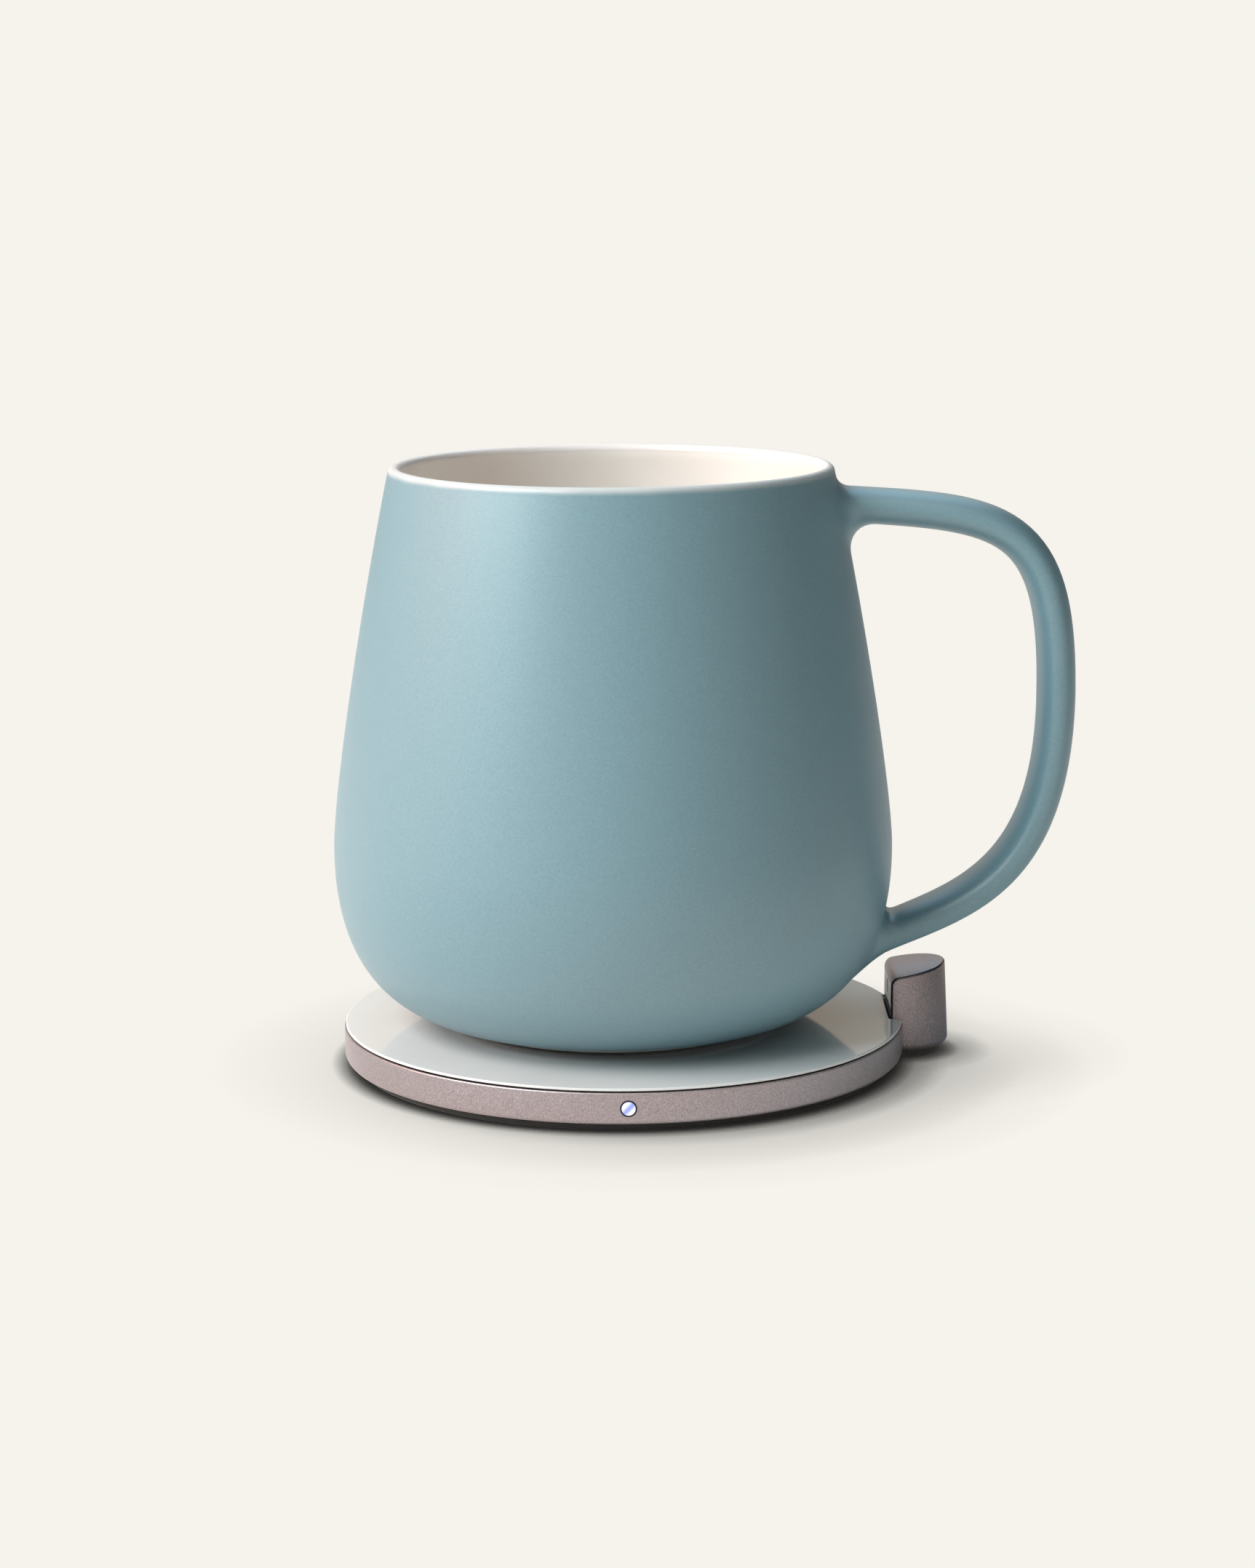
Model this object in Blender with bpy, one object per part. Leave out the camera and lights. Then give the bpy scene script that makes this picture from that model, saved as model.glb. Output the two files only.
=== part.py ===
"""A self heating ceramic mug and the charging pad that it stands on.

Metres, +Z up. The origin is on the table, at the pad's axis. +X runs to the handle and the post, and
the indicator is at the front, towards -Y.
"""

import math

import bmesh
import bpy
from mathutils import Matrix, Vector

# Fits and cutters
CLEARANCE = 0.0003
OVERRUN = 0.004
MERGE_DISTANCE = 0.000001

# Smoothness of the round pieces
MUG_SEGMENTS = 48
PAD_SEGMENTS = 60
DISC_SEGMENTS = 32
ROD_SEGMENTS = 12
SHARP_ANGLE = math.radians(35)

# Mug: outside wall
MUG_HEIGHT = 0.0892
MUG_OFFSET_X = -0.00157
BELLY_RADIUS = 0.0448
BELLY_HEIGHT = 0.0280
RIM_RADIUS = 0.0353
RIM_TAPER = math.radians(12)
RIM_PULL = 0.0227
BELLY_PULL_UP = 0.0087
BELLY_PULL_DOWN = 0.0195
FOOT_RING_RADIUS = 0.0266
FOOT_RING_STAND = 0.0003
FOOT_FLARE = math.radians(9.2)
FOOT_PULL = 0.0090

# Mug: lip and inside wall
LIP_THICKNESS = 0.0025
LIP_ROUND = 0.0010
WALL = 0.0033
CUP_FLOOR_HEIGHT = 0.0120
CUP_FLOOR_RADIUS = 0.0280
CUP_FLOOR_PULL = 0.0110
CUP_CORNER_PULL = 0.0090
CERAMIC_FLOOR = 0.0030

# Mug: recess below the floor and what it holds, from the bottom up
BASE_PLATE_RADIUS = 0.0247
BASE_PLATE_THICKNESS = 0.0010
BASE_GASKET_WIDTH = 0.0008
BASE_GASKET_THICKNESS = 0.0004
RECESS_SHOULDER = 0.0014
RECEIVER_COIL_INNER_RADIUS = 0.0080
RECEIVER_COIL_THICKNESS = 0.0008
RECEIVER_FERRITE_THICKNESS = 0.0005
RECEIVER_BOARD_THICKNESS = 0.0008
RECEIVER_CHIP_SIZE = 0.0050
RECEIVER_CHIP_HEIGHT = 0.0009
RECEIVER_CHIP_REACH = 0.0090
RECEIVER_CAPACITOR_LENGTH = 0.0032
RECEIVER_CAPACITOR_WIDTH = 0.0016
RECEIVER_CAPACITOR_REACH = 0.0140
INSULATION_THICKNESS = 0.0014
HEATER_THICKNESS = 0.0002
SPREADER_HOLE_RADIUS = 0.0016
FUSE_RADIUS = 0.0005
FUSE_LENGTH = 0.0060
FUSE_REACH = 0.0100

# Mug: handle, in the plane through the mug's axis
HANDLE_TOP_HEIGHT = 0.0829
HANDLE_TOP_DROOP = math.radians(3.7)
HANDLE_TOP_PULL = 0.0260
HANDLE_REACH = 0.07095
HANDLE_REACH_HEIGHT = 0.0526
HANDLE_SHOULDER_PULL = 0.0291
HANDLE_BACK_PULL = 0.0322
HANDLE_LOW_HEIGHT = 0.0124
HANDLE_LOW_RISE = math.radians(24.7)
HANDLE_LOW_PULL = 0.0140
HANDLE_WIDTH = 0.0125
HANDLE_TOP_THICKNESS = 0.0056
HANDLE_BACK_THICKNESS = 0.0060
HANDLE_LOW_THICKNESS = 0.0054
HANDLE_ROOT_SINK = 0.0040
HANDLE_SIDE_FILLET = 0.0026
HANDLE_TOP_OUTER_FILLET = 0.0015
HANDLE_TOP_INNER_FILLET = 0.0049
HANDLE_LOW_OUTER_FILLET = 0.0028
HANDLE_LOW_INNER_FILLET = 0.0018
HANDLE_FILLET_EDGE = 0.0004
HANDLE_ROUNDNESS = 2.5
HANDLE_ROOT_LENGTH = 0.0080
HANDLE_SIDES = 14
HANDLE_RUN_STEPS = 22
HANDLE_ROOT_STEPS = 8

# Pad: ring, plate, foot and cover. The pad is as wide as the mug's belly.
PAD_OVER_BELLY = 0.0004
RING_HEIGHT = 0.0050
RING_WALL = 0.0032
RING_TOP_CHAMFER = 0.0002
RING_FOOT_ROUND = 0.0008
FLANGE_WIDTH = 0.0040
FLANGE_THICKNESS = 0.0009
PLATE_THICKNESS = 0.0010
PLATE_EDGE = 0.00035
PLATE_EDGE_BEVEL = 0.0002
PLATE_UNDERCUT = 0.0014
GASKET_THICKNESS = 0.00035
GASKET_WIDTH = 0.0024
GASKET_INSET = 0.0006
FOOT_HEIGHT = 0.0010
FOOT_INSET = 0.0020
FOOT_ROUND = 0.0003
COVER_THICKNESS = 0.00075
COVER_SCREWS = 4
COVER_SCREW_RADIUS = 0.00055
COVER_SCREW_HEAD_RADIUS = 0.0012
COVER_SCREW_HEAD_HEIGHT = 0.0005
COVER_SCREW_INSET = 0.0024
COVER_COLLAR_RADIUS = 0.0018
SCREW_DIMPLE_RADIUS = 0.0004

# Pad: what lies inside
BOARD_RIB_HEIGHT = 0.00075
BOARD_RIB_WIDTH = 0.0015
BOARD_THICKNESS = 0.0008
BOARD_WIDTH = 0.0105
CARRIER_FLOOR = 0.0006
CARRIER_RIM = 0.0008
FERRITE_THICKNESS = 0.0006
COIL_INNER_RADIUS = 0.0090
COIL_THICKNESS = 0.0012
BEAD_RADIUS = 0.0012
INDUCTOR_SIZE = 0.0065
INDUCTOR_HEIGHT = 0.0014
CONTROLLER_SIZE = 0.0050
BRIDGE_SIZE = 0.0040
CHIP_HEIGHT = 0.0009
CAPACITOR_LENGTH = 0.0032
CAPACITOR_WIDTH = 0.0025
CAPACITOR_HEIGHT = 0.0012
RESONANCE_CAPACITORS = 3
INDUCTOR_BEARING = math.radians(120)
CONTROLLER_BEARING = math.radians(200)
BRIDGE_BEARING = math.radians(160)
CAPACITOR_BEARING = math.radians(230)
CAPACITOR_BEARING_STEP = math.radians(8)

# Pad: indicator and inlet
LED_CENTRE_HEIGHT = 0.0026
LED_OFFSET_X = 0.00065
LED_LENS_RADIUS = 0.00107
LED_DOME_HEIGHT = 0.00035
LED_BODY_SIZE = 0.0016
LED_BODY_DEPTH = 0.0010
USB_WIDTH = 0.00894
USB_HEIGHT = 0.00316
USB_DEPTH = 0.0073
USB_WALL = 0.0003
USB_REAR_WALL = 0.0008
USB_MOUTH_INSET = 0.0003
USB_TONGUE_WIDTH = 0.0067
USB_TONGUE_THICKNESS = 0.0007
USB_TONGUE_LENGTH = 0.0046

# Post
POST_INSET = 0.00035
POST_CENTRE_Y = 0.0042
POST_BASE_RADIUS = 0.00813
POST_DRAFT = math.radians(2.5)
POST_HEIGHT = 0.0124
POST_TOP_SLOPE = math.radians(10.4)
POST_FLAT_OFFSET = 0.0017
POST_TOP_ROUND = 0.0015
POST_BOTTOM_ROUND = 0.0012
POST_WALL = 0.0013
POST_FRONT_WALL = 0.0009
WINDOW_THICKNESS = 0.0010
WINDOW_EDGE = 0.0004
LENS_RADIUS = 0.0011
LENS_BELOW_WINDOW_TOP = 0.0016
SENSOR_RADIUS = 0.0013
SENSOR_DEPTH = 0.0012
POST_BOARD_THICKNESS = 0.0008
POST_BASE_THICKNESS = 0.0008
POST_SCREW_REACH = 0.0053
POST_BOSS_RADIUS = 0.0015
CABLE_WIDTH = 0.0040
CABLE_THICKNESS = 0.0004
CABLE_RISE = 0.0001

# Levels and radii that follow from the sizes above, from the table up
PAD_RADIUS = BELLY_RADIUS + PAD_OVER_BELLY
RING_BOTTOM = FOOT_HEIGHT + CLEARANCE
RING_TOP = RING_BOTTOM + RING_HEIGHT
PLATE_TOP = RING_TOP + CLEARANCE + PLATE_EDGE
PLATE_BOTTOM = PLATE_TOP - PLATE_THICKNESS
SHELF_LEVEL = PLATE_BOTTOM - CLEARANCE
GASKET_BOTTOM = SHELF_LEVEL - GASKET_THICKNESS
FLANGE_TOP = GASKET_BOTTOM - CLEARANCE
FLANGE_BOTTOM = FLANGE_TOP - FLANGE_THICKNESS
COVER_TOP = RING_BOTTOM + COVER_THICKNESS
BOARD_BOTTOM = COVER_TOP + BOARD_RIB_HEIGHT + CLEARANCE
BOARD_TOP = BOARD_BOTTOM + BOARD_THICKNESS
MUG_BASE = PLATE_TOP + CLEARANCE
RING_INNER_RADIUS = PAD_RADIUS - RING_WALL
FLANGE_INNER_RADIUS = RING_INNER_RADIUS - FLANGE_WIDTH
COVER_RADIUS = RING_INNER_RADIUS - CLEARANCE
SCREW_CIRCLE_RADIUS = RING_INNER_RADIUS - COVER_SCREW_INSET
BOARD_OUTER_RADIUS = SCREW_CIRCLE_RADIUS - COVER_COLLAR_RADIUS - CLEARANCE
BOARD_INNER_RADIUS = BOARD_OUTER_RADIUS - BOARD_WIDTH
CARRIER_RADIUS = BOARD_INNER_RADIUS - 2 * CLEARANCE
LED_LEVEL = RING_BOTTOM + LED_CENTRE_HEIGHT
USB_LEVEL = COVER_TOP + CLEARANCE + USB_HEIGHT / 2
POST_CENTRE_X = PAD_RADIUS - POST_INSET
POST_FLAT_X = -POST_FLAT_OFFSET
POST_REACH = POST_BASE_RADIUS + OVERRUN
WINDOW_BACK_X = POST_FLAT_X + WINDOW_THICKNESS
POST_CAVITY_X = WINDOW_BACK_X + CLEARANCE + POST_FRONT_WALL
SENSOR_FRONT_X = WINDOW_BACK_X + CLEARANCE
POST_BOARD_X = SENSOR_FRONT_X + SENSOR_DEPTH + CLEARANCE
POST_TOP = RING_BOTTOM + POST_HEIGHT
POST_TOP_RISE_SHARE = math.tan(POST_TOP_SLOPE)
POST_SHELL_TOP = POST_TOP + POST_REACH * POST_TOP_RISE_SHARE + OVERRUN
POST_ROUND_X = POST_FLAT_X + POST_TOP_ROUND
POST_ROUND_DROP = POST_TOP_ROUND / math.cos(POST_TOP_SLOPE)
WINDOW_TOP = POST_TOP + POST_TOP_RISE_SHARE * POST_ROUND_X - POST_ROUND_DROP
LENS_LEVEL = WINDOW_TOP - LENS_BELOW_WINDOW_TOP
POST_BASE_TOP = RING_BOTTOM + POST_BASE_THICKNESS
POST_SCREW_TOP = RING_BOTTOM + POST_HEIGHT / 2
CABLE_BOTTOM = BOARD_BOTTOM + CABLE_RISE
RECESS_RADIUS = BASE_PLATE_RADIUS + CLEARANCE
RECESS_TOP = CUP_FLOOR_HEIGHT - CERAMIC_FLOOR
SHOULDER_LEVEL = BASE_PLATE_THICKNESS + BASE_GASKET_THICKNESS + 2 * CLEARANCE
SHOULDER_RADIUS = RECESS_RADIUS - RECESS_SHOULDER
STACK_RADIUS = SHOULDER_RADIUS - CLEARANCE


def clear_scene():
    """Removes whatever the scene holds."""
    for old in list(bpy.data.objects):
        bpy.data.objects.remove(old, do_unlink=True)


def linear(hex_colour):
    """An sRGB hex colour as linear RGBA."""
    channels = [int(hex_colour[i : i + 2], 16) / 255 for i in (0, 2, 4)]
    toe, slope = 0.04045, 12.92
    return [c / slope if c <= toe else ((c + 0.055) / 1.055) ** 2.4 for c in channels] + [1]


def finish(name, hex_colour, roughness, metallic=0):
    """A Principled material."""
    material = bpy.data.materials.new(name)
    material.use_nodes = True
    shader = material.node_tree.nodes["Principled BSDF"]
    shader.inputs["Base Color"].default_value = linear(hex_colour)
    shader.inputs["Roughness"].default_value = roughness
    shader.inputs["Metallic"].default_value = metallic
    return material


def new_object(name, bm, material, parent=None):
    """The mesh as a smooth shaded object, left at its parent's origin."""
    bmesh.ops.recalc_face_normals(bm, faces=bm.faces)
    mesh = bpy.data.meshes.new(name)
    bm.to_mesh(mesh)
    bm.free()
    mesh.shade_smooth()
    mesh.set_sharp_from_angle(angle=SHARP_ANGLE)
    mesh.materials.append(material)
    made = bpy.data.objects.new(name, mesh)
    made.parent = parent
    bpy.context.scene.collection.objects.link(made)
    return made


def frame_at(name, x, y, z):
    """An empty that carries a group of pieces."""
    empty = bpy.data.objects.new(name, None)
    empty.location = (x, y, z)
    bpy.context.scene.collection.objects.link(empty)
    return empty


def turned_mesh(outline, segments):
    """A solid turned about Z from (radius, height) points. An outline that starts and ends on the
    axis is closed by it, and any other is closed into a ring."""
    bm = bmesh.new()
    verts = [bm.verts.new((radius, 0, height)) for radius, height in outline]
    pairs = list(zip(verts, verts[1:]))
    if outline[0][0] > 0 or outline[-1][0] > 0:
        pairs.append((verts[-1], verts[0]))
    edges = [bm.edges.new(pair) for pair in pairs]
    bmesh.ops.spin(
        bm,
        geom=verts + edges,
        cent=(0, 0, 0),
        axis=(0, 0, 1),
        angle=2 * math.pi,
        steps=segments,
        use_merge=True,
    )
    bmesh.ops.remove_doubles(bm, verts=bm.verts, dist=MERGE_DISTANCE)
    return bm


def turned(name, outline, material, segments, parent=None):
    """A turned solid on its parent's Z axis."""
    return new_object(name, turned_mesh(outline, segments), material, parent)


def ring_outline(inner_radius, outer_radius, bottom, top):
    """The outline of a flat ring, or of a disc where the inner radius is zero."""
    return [(inner_radius, bottom), (outer_radius, bottom), (outer_radius, top), (inner_radius, top)]


def block_mesh(low, high):
    """A box between two corners."""
    bm = bmesh.new()
    size = Vector(high) - Vector(low)
    middle = (Vector(high) + Vector(low)) / 2
    matrix = Matrix.Translation(middle) @ Matrix.Diagonal((*size, 1))
    bmesh.ops.create_cube(bm, size=1, matrix=matrix)
    return bm


def block(name, low, high, material, parent=None):
    """A box shaped piece."""
    return new_object(name, block_mesh(low, high), material, parent)


def placed_block(name, centre, size, bottom, height, turn, material, parent=None):
    """A box standing on the level bottom, turned about its own upright axis."""
    half_x, half_y = size[0] / 2, size[1] / 2
    bm = block_mesh((-half_x, -half_y, 0), (half_x, half_y, height))
    made = new_object(name, bm, material, parent)
    made.location = (centre[0], centre[1], bottom)
    made.rotation_euler.z = turn
    return made


def prism(name, outline, direction, material, parent=None):
    """A flat outline of points, pushed along a direction."""
    bm = bmesh.new()
    face = bm.faces.new([bm.verts.new(point) for point in outline])
    pushed = bmesh.ops.extrude_face_region(bm, geom=[face])
    moved = [item for item in pushed["geom"] if isinstance(item, bmesh.types.BMVert)]
    bmesh.ops.translate(bm, vec=direction, verts=moved)
    return new_object(name, bm, material, parent)


def rod(name, radius, start, end, material, parent=None):
    """A straight round bar between two points."""
    axis = Vector(end) - Vector(start)
    bm = turned_mesh(ring_outline(0, radius, 0, axis.length), ROD_SEGMENTS)
    made = new_object(name, bm, material, parent)
    made.rotation_mode = "QUATERNION"
    made.rotation_quaternion = axis.to_track_quat("Z", "Y")
    made.location = start
    return made


def shape_with(target, cutter, operation):
    """Adds one Boolean, and marks the cutter as a helper."""
    cutter.hide_render = True
    cutter.display_type = "WIRE"
    boolean = target.modifiers.new(operation.lower() + "_" + cutter.name, "BOOLEAN")
    boolean.operation = operation
    boolean.object = cutter


def cut(target, *cutters):
    for cutter in cutters:
        shape_with(target, cutter, "DIFFERENCE")


def keep_inside(target, *cutters):
    for cutter in cutters:
        shape_with(target, cutter, "INTERSECT")


def bezier(start, pull_out, pull_in, end, steps):
    """Points along a cubic curve, without its first point."""
    points = []
    for step in range(1, steps + 1):
        t = step / steps
        weights = ((1 - t) ** 3, 3 * (1 - t) ** 2 * t, 3 * (1 - t) * t**2, t**3)
        corners = (start, pull_out, pull_in, end)
        points.append(tuple(sum(w * c[i] for w, c in zip(weights, corners)) for i in (0, 1)))
    return points


def outer_wall(grow=0.0):
    """The mug's outside from the foot ring to the lip, as (radius, height), moved out by grow."""
    foot = (FOOT_RING_RADIUS, FOOT_RING_STAND)
    belly = (BELLY_RADIUS, BELLY_HEIGHT)
    rim = (RIM_RADIUS, MUG_HEIGHT - LIP_ROUND)
    foot_pull = (
        foot[0] + FOOT_PULL * math.cos(FOOT_FLARE),
        foot[1] + FOOT_PULL * math.sin(FOOT_FLARE),
    )
    rim_pull = (rim[0] + RIM_PULL * math.sin(RIM_TAPER), rim[1] - RIM_PULL * math.cos(RIM_TAPER))
    lower_steps, upper_steps = 9, 6
    points = [foot]
    points += bezier(foot, foot_pull, (belly[0], belly[1] - BELLY_PULL_DOWN), belly, lower_steps)
    points += bezier(belly, (belly[0], belly[1] + BELLY_PULL_UP), rim_pull, rim, upper_steps)
    return [(radius + grow, height) for radius, height in points]


def inner_wall():
    """The inside from the lip down to the edge of the flat floor."""
    rim = (RIM_RADIUS - LIP_THICKNESS, MUG_HEIGHT - LIP_ROUND)
    belly = (BELLY_RADIUS - WALL, BELLY_HEIGHT)
    floor = (CUP_FLOOR_RADIUS, CUP_FLOOR_HEIGHT)
    rim_pull = (rim[0] + RIM_PULL * math.sin(RIM_TAPER), rim[1] - RIM_PULL * math.cos(RIM_TAPER))
    upper_steps, lower_steps = 6, 6
    points = [rim]
    points += bezier(rim, rim_pull, (belly[0], belly[1] + BELLY_PULL_UP), belly, upper_steps)
    corner = (belly[0], belly[1] - CUP_CORNER_PULL)
    points += bezier(belly, corner, (floor[0] + CUP_FLOOR_PULL, floor[1]), floor, lower_steps)
    return points


def lip():
    """The rounded lip, from the outside over the top, without its end points."""
    middle = RIM_RADIUS - LIP_THICKNESS / 2
    steps = 6
    angles = [math.pi * step / steps for step in range(1, steps)]
    return [
        (middle + LIP_THICKNESS / 2 * math.cos(a), MUG_HEIGHT - LIP_ROUND + LIP_ROUND * math.sin(a))
        for a in angles
    ]


def mug_body(parent, glaze):
    """The ceramic bowl: foot ring, wall, lip, cup, and the recess that the heater goes into."""
    recess = [
        (0, RECESS_TOP),
        (SHOULDER_RADIUS, RECESS_TOP),
        (SHOULDER_RADIUS, SHOULDER_LEVEL),
        (RECESS_RADIUS, SHOULDER_LEVEL),
        (RECESS_RADIUS, FOOT_RING_STAND),
    ]
    outline = recess + outer_wall() + lip() + inner_wall() + [(0, CUP_FLOOR_HEIGHT)]
    return turned("mug_body", outline, glaze, MUG_SEGMENTS, parent)


def handle_path():
    """The handle's middle line from the rim down, as (x, z), and the run along it at each point."""
    back = (HANDLE_REACH, HANDLE_REACH_HEIGHT)
    top = (RIM_RADIUS, HANDLE_TOP_HEIGHT)
    top_pull = (
        top[0] + HANDLE_TOP_PULL * math.cos(HANDLE_TOP_DROOP),
        top[1] - HANDLE_TOP_PULL * math.sin(HANDLE_TOP_DROOP),
    )
    low = (BELLY_RADIUS - WALL + CLEARANCE, HANDLE_LOW_HEIGHT)
    low_pull = (
        low[0] + HANDLE_LOW_PULL * math.cos(HANDLE_LOW_RISE),
        low[1] + HANDLE_LOW_PULL * math.sin(HANDLE_LOW_RISE),
    )
    half = HANDLE_RUN_STEPS
    points = [top]
    points += bezier(top, top_pull, (back[0], back[1] + HANDLE_SHOULDER_PULL), back, half)
    points += bezier(back, (back[0], back[1] - HANDLE_BACK_PULL), low_pull, low, half)
    runs = [0.0]
    for a, b in zip(points, points[1:]):
        runs.append(runs[-1] + math.dist(a, b))
    return points, runs


def along(points, runs, run):
    """The point and the unit direction of the path at a run, carried straight on past its ends."""
    index = max(1, min(len(runs) - 1, sum(1 for known in runs if known < run)))
    a, b = points[index - 1], points[index]
    length = runs[index] - runs[index - 1]
    share = (run - runs[index - 1]) / length
    point = (a[0] + (b[0] - a[0]) * share, a[1] + (b[1] - a[1]) * share)
    return point, ((b[0] - a[0]) / length, (b[1] - a[1]) / length)


def fillet_growth(distance, radius):
    """How far a fillet of this radius stands out at a distance from the wall that it meets."""
    if distance >= radius:
        return 0.0
    reach = radius - max(distance, HANDLE_FILLET_EDGE)
    return radius - math.sqrt(radius**2 - reach**2)


def ramp(value, knots):
    """A straight interpolation through (place, value) knots."""
    for (x0, y0), (x1, y1) in zip(knots, knots[1:]):
        if value <= x1:
            share = max(0.0, value - x0) / (x1 - x0)
            return y0 + (y1 - y0) * share
    return knots[-1][1]


def distance_outside(radius, height, wall):
    """How far a point lies outside the wall's outline, or less than zero inside it."""
    nearest = None
    for (r0, z0), (r1, z1) in zip(wall, wall[1:]):
        run_r, run_z = r1 - r0, z1 - z0
        length = math.hypot(run_r, run_z)
        share = ((radius - r0) * run_r + (height - z0) * run_z) / length**2
        share = max(0.0, min(1.0, share))
        off_r, off_z = radius - r0 - run_r * share, height - z0 - run_z * share
        gap = math.hypot(off_r, off_z)
        if nearest is None or gap < abs(nearest):
            nearest = math.copysign(gap, off_r * run_z - off_z * run_r)
    return nearest


def handle_section(point, direction, half, fillets, wall):
    """One closed section of the strap. Its corners stand out further where they near the wall, by
    fillets of these radii on the side away from the fingers, the finger side and the two flanks."""
    normal = (-direction[1], direction[0])
    outer_fillet, inner_fillet = fillets
    ring = []
    for side in range(HANDLE_SIDES):
        angle = 2 * math.pi * side / HANDLE_SIDES
        c, s = math.cos(angle), math.sin(angle)
        across = math.copysign(abs(c) ** (2 / HANDLE_ROUNDNESS), c) * HANDLE_WIDTH / 2
        rise = math.copysign(abs(s) ** (2 / HANDLE_ROUNDNESS), s) * half
        x, z = point[0] + normal[0] * rise, point[1] + normal[1] * rise
        apart = distance_outside(math.hypot(x, across), z, wall)
        radius = outer_fillet if s > 0 else inner_fillet
        radius = radius * s**2 + HANDLE_SIDE_FILLET * c**2
        growth = fillet_growth(apart, radius)
        x, z = x + normal[0] * s * growth, z + normal[1] * s * growth
        ring.append((x, across + c * growth, z))
    return ring


def mug_handle(parent, glaze):
    """The strap handle: a swept section that flares into both roots, trimmed to the wall."""
    points, runs = handle_path()
    total = runs[-1]
    half_run = runs[HANDLE_RUN_STEPS]
    knots = [
        (0.0, HANDLE_TOP_THICKNESS / 2),
        (half_run, HANDLE_BACK_THICKNESS / 2),
        (total, HANDLE_LOW_THICKNESS / 2),
    ]
    wall = outer_wall()
    root_step = HANDLE_ROOT_LENGTH / HANDLE_ROOT_STEPS
    span = total - 2 * HANDLE_ROOT_LENGTH
    stations = [-HANDLE_ROOT_SINK]
    stations += [root_step * step for step in range(HANDLE_ROOT_STEPS)]
    for step in range(HANDLE_RUN_STEPS + 1):
        stations.append(HANDLE_ROOT_LENGTH + span * step / HANDLE_RUN_STEPS)
    stations += [total - root_step * step for step in range(HANDLE_ROOT_STEPS - 1, -1, -1)]
    stations += [total + HANDLE_ROOT_SINK]
    bm = bmesh.new()
    rings = []
    for run in stations:
        point, direction = along(points, runs, run)
        if run < half_run:
            fillets = (HANDLE_TOP_OUTER_FILLET, HANDLE_TOP_INNER_FILLET)
        else:
            fillets = (HANDLE_LOW_OUTER_FILLET, HANDLE_LOW_INNER_FILLET)
        section = handle_section(point, direction, ramp(run, knots), fillets, wall)
        rings.append([bm.verts.new(corner) for corner in section])
    for near, far in zip(rings, rings[1:]):
        for side in range(HANDLE_SIDES):
            other = (side + 1) % HANDLE_SIDES
            bm.faces.new((near[side], near[other], far[other], far[side]))
    bm.faces.new(rings[0])
    bm.faces.new(rings[-1])
    handle = new_object("mug_handle", bm, glaze, parent)
    wall = outer_wall(CLEARANCE)
    closed = [(0, wall[0][1])] + wall + [(wall[-1][0], MUG_HEIGHT), (0, MUG_HEIGHT)]
    cut(handle, turned("wall_trim", closed, glaze, MUG_SEGMENTS, parent))
    return handle


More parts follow.
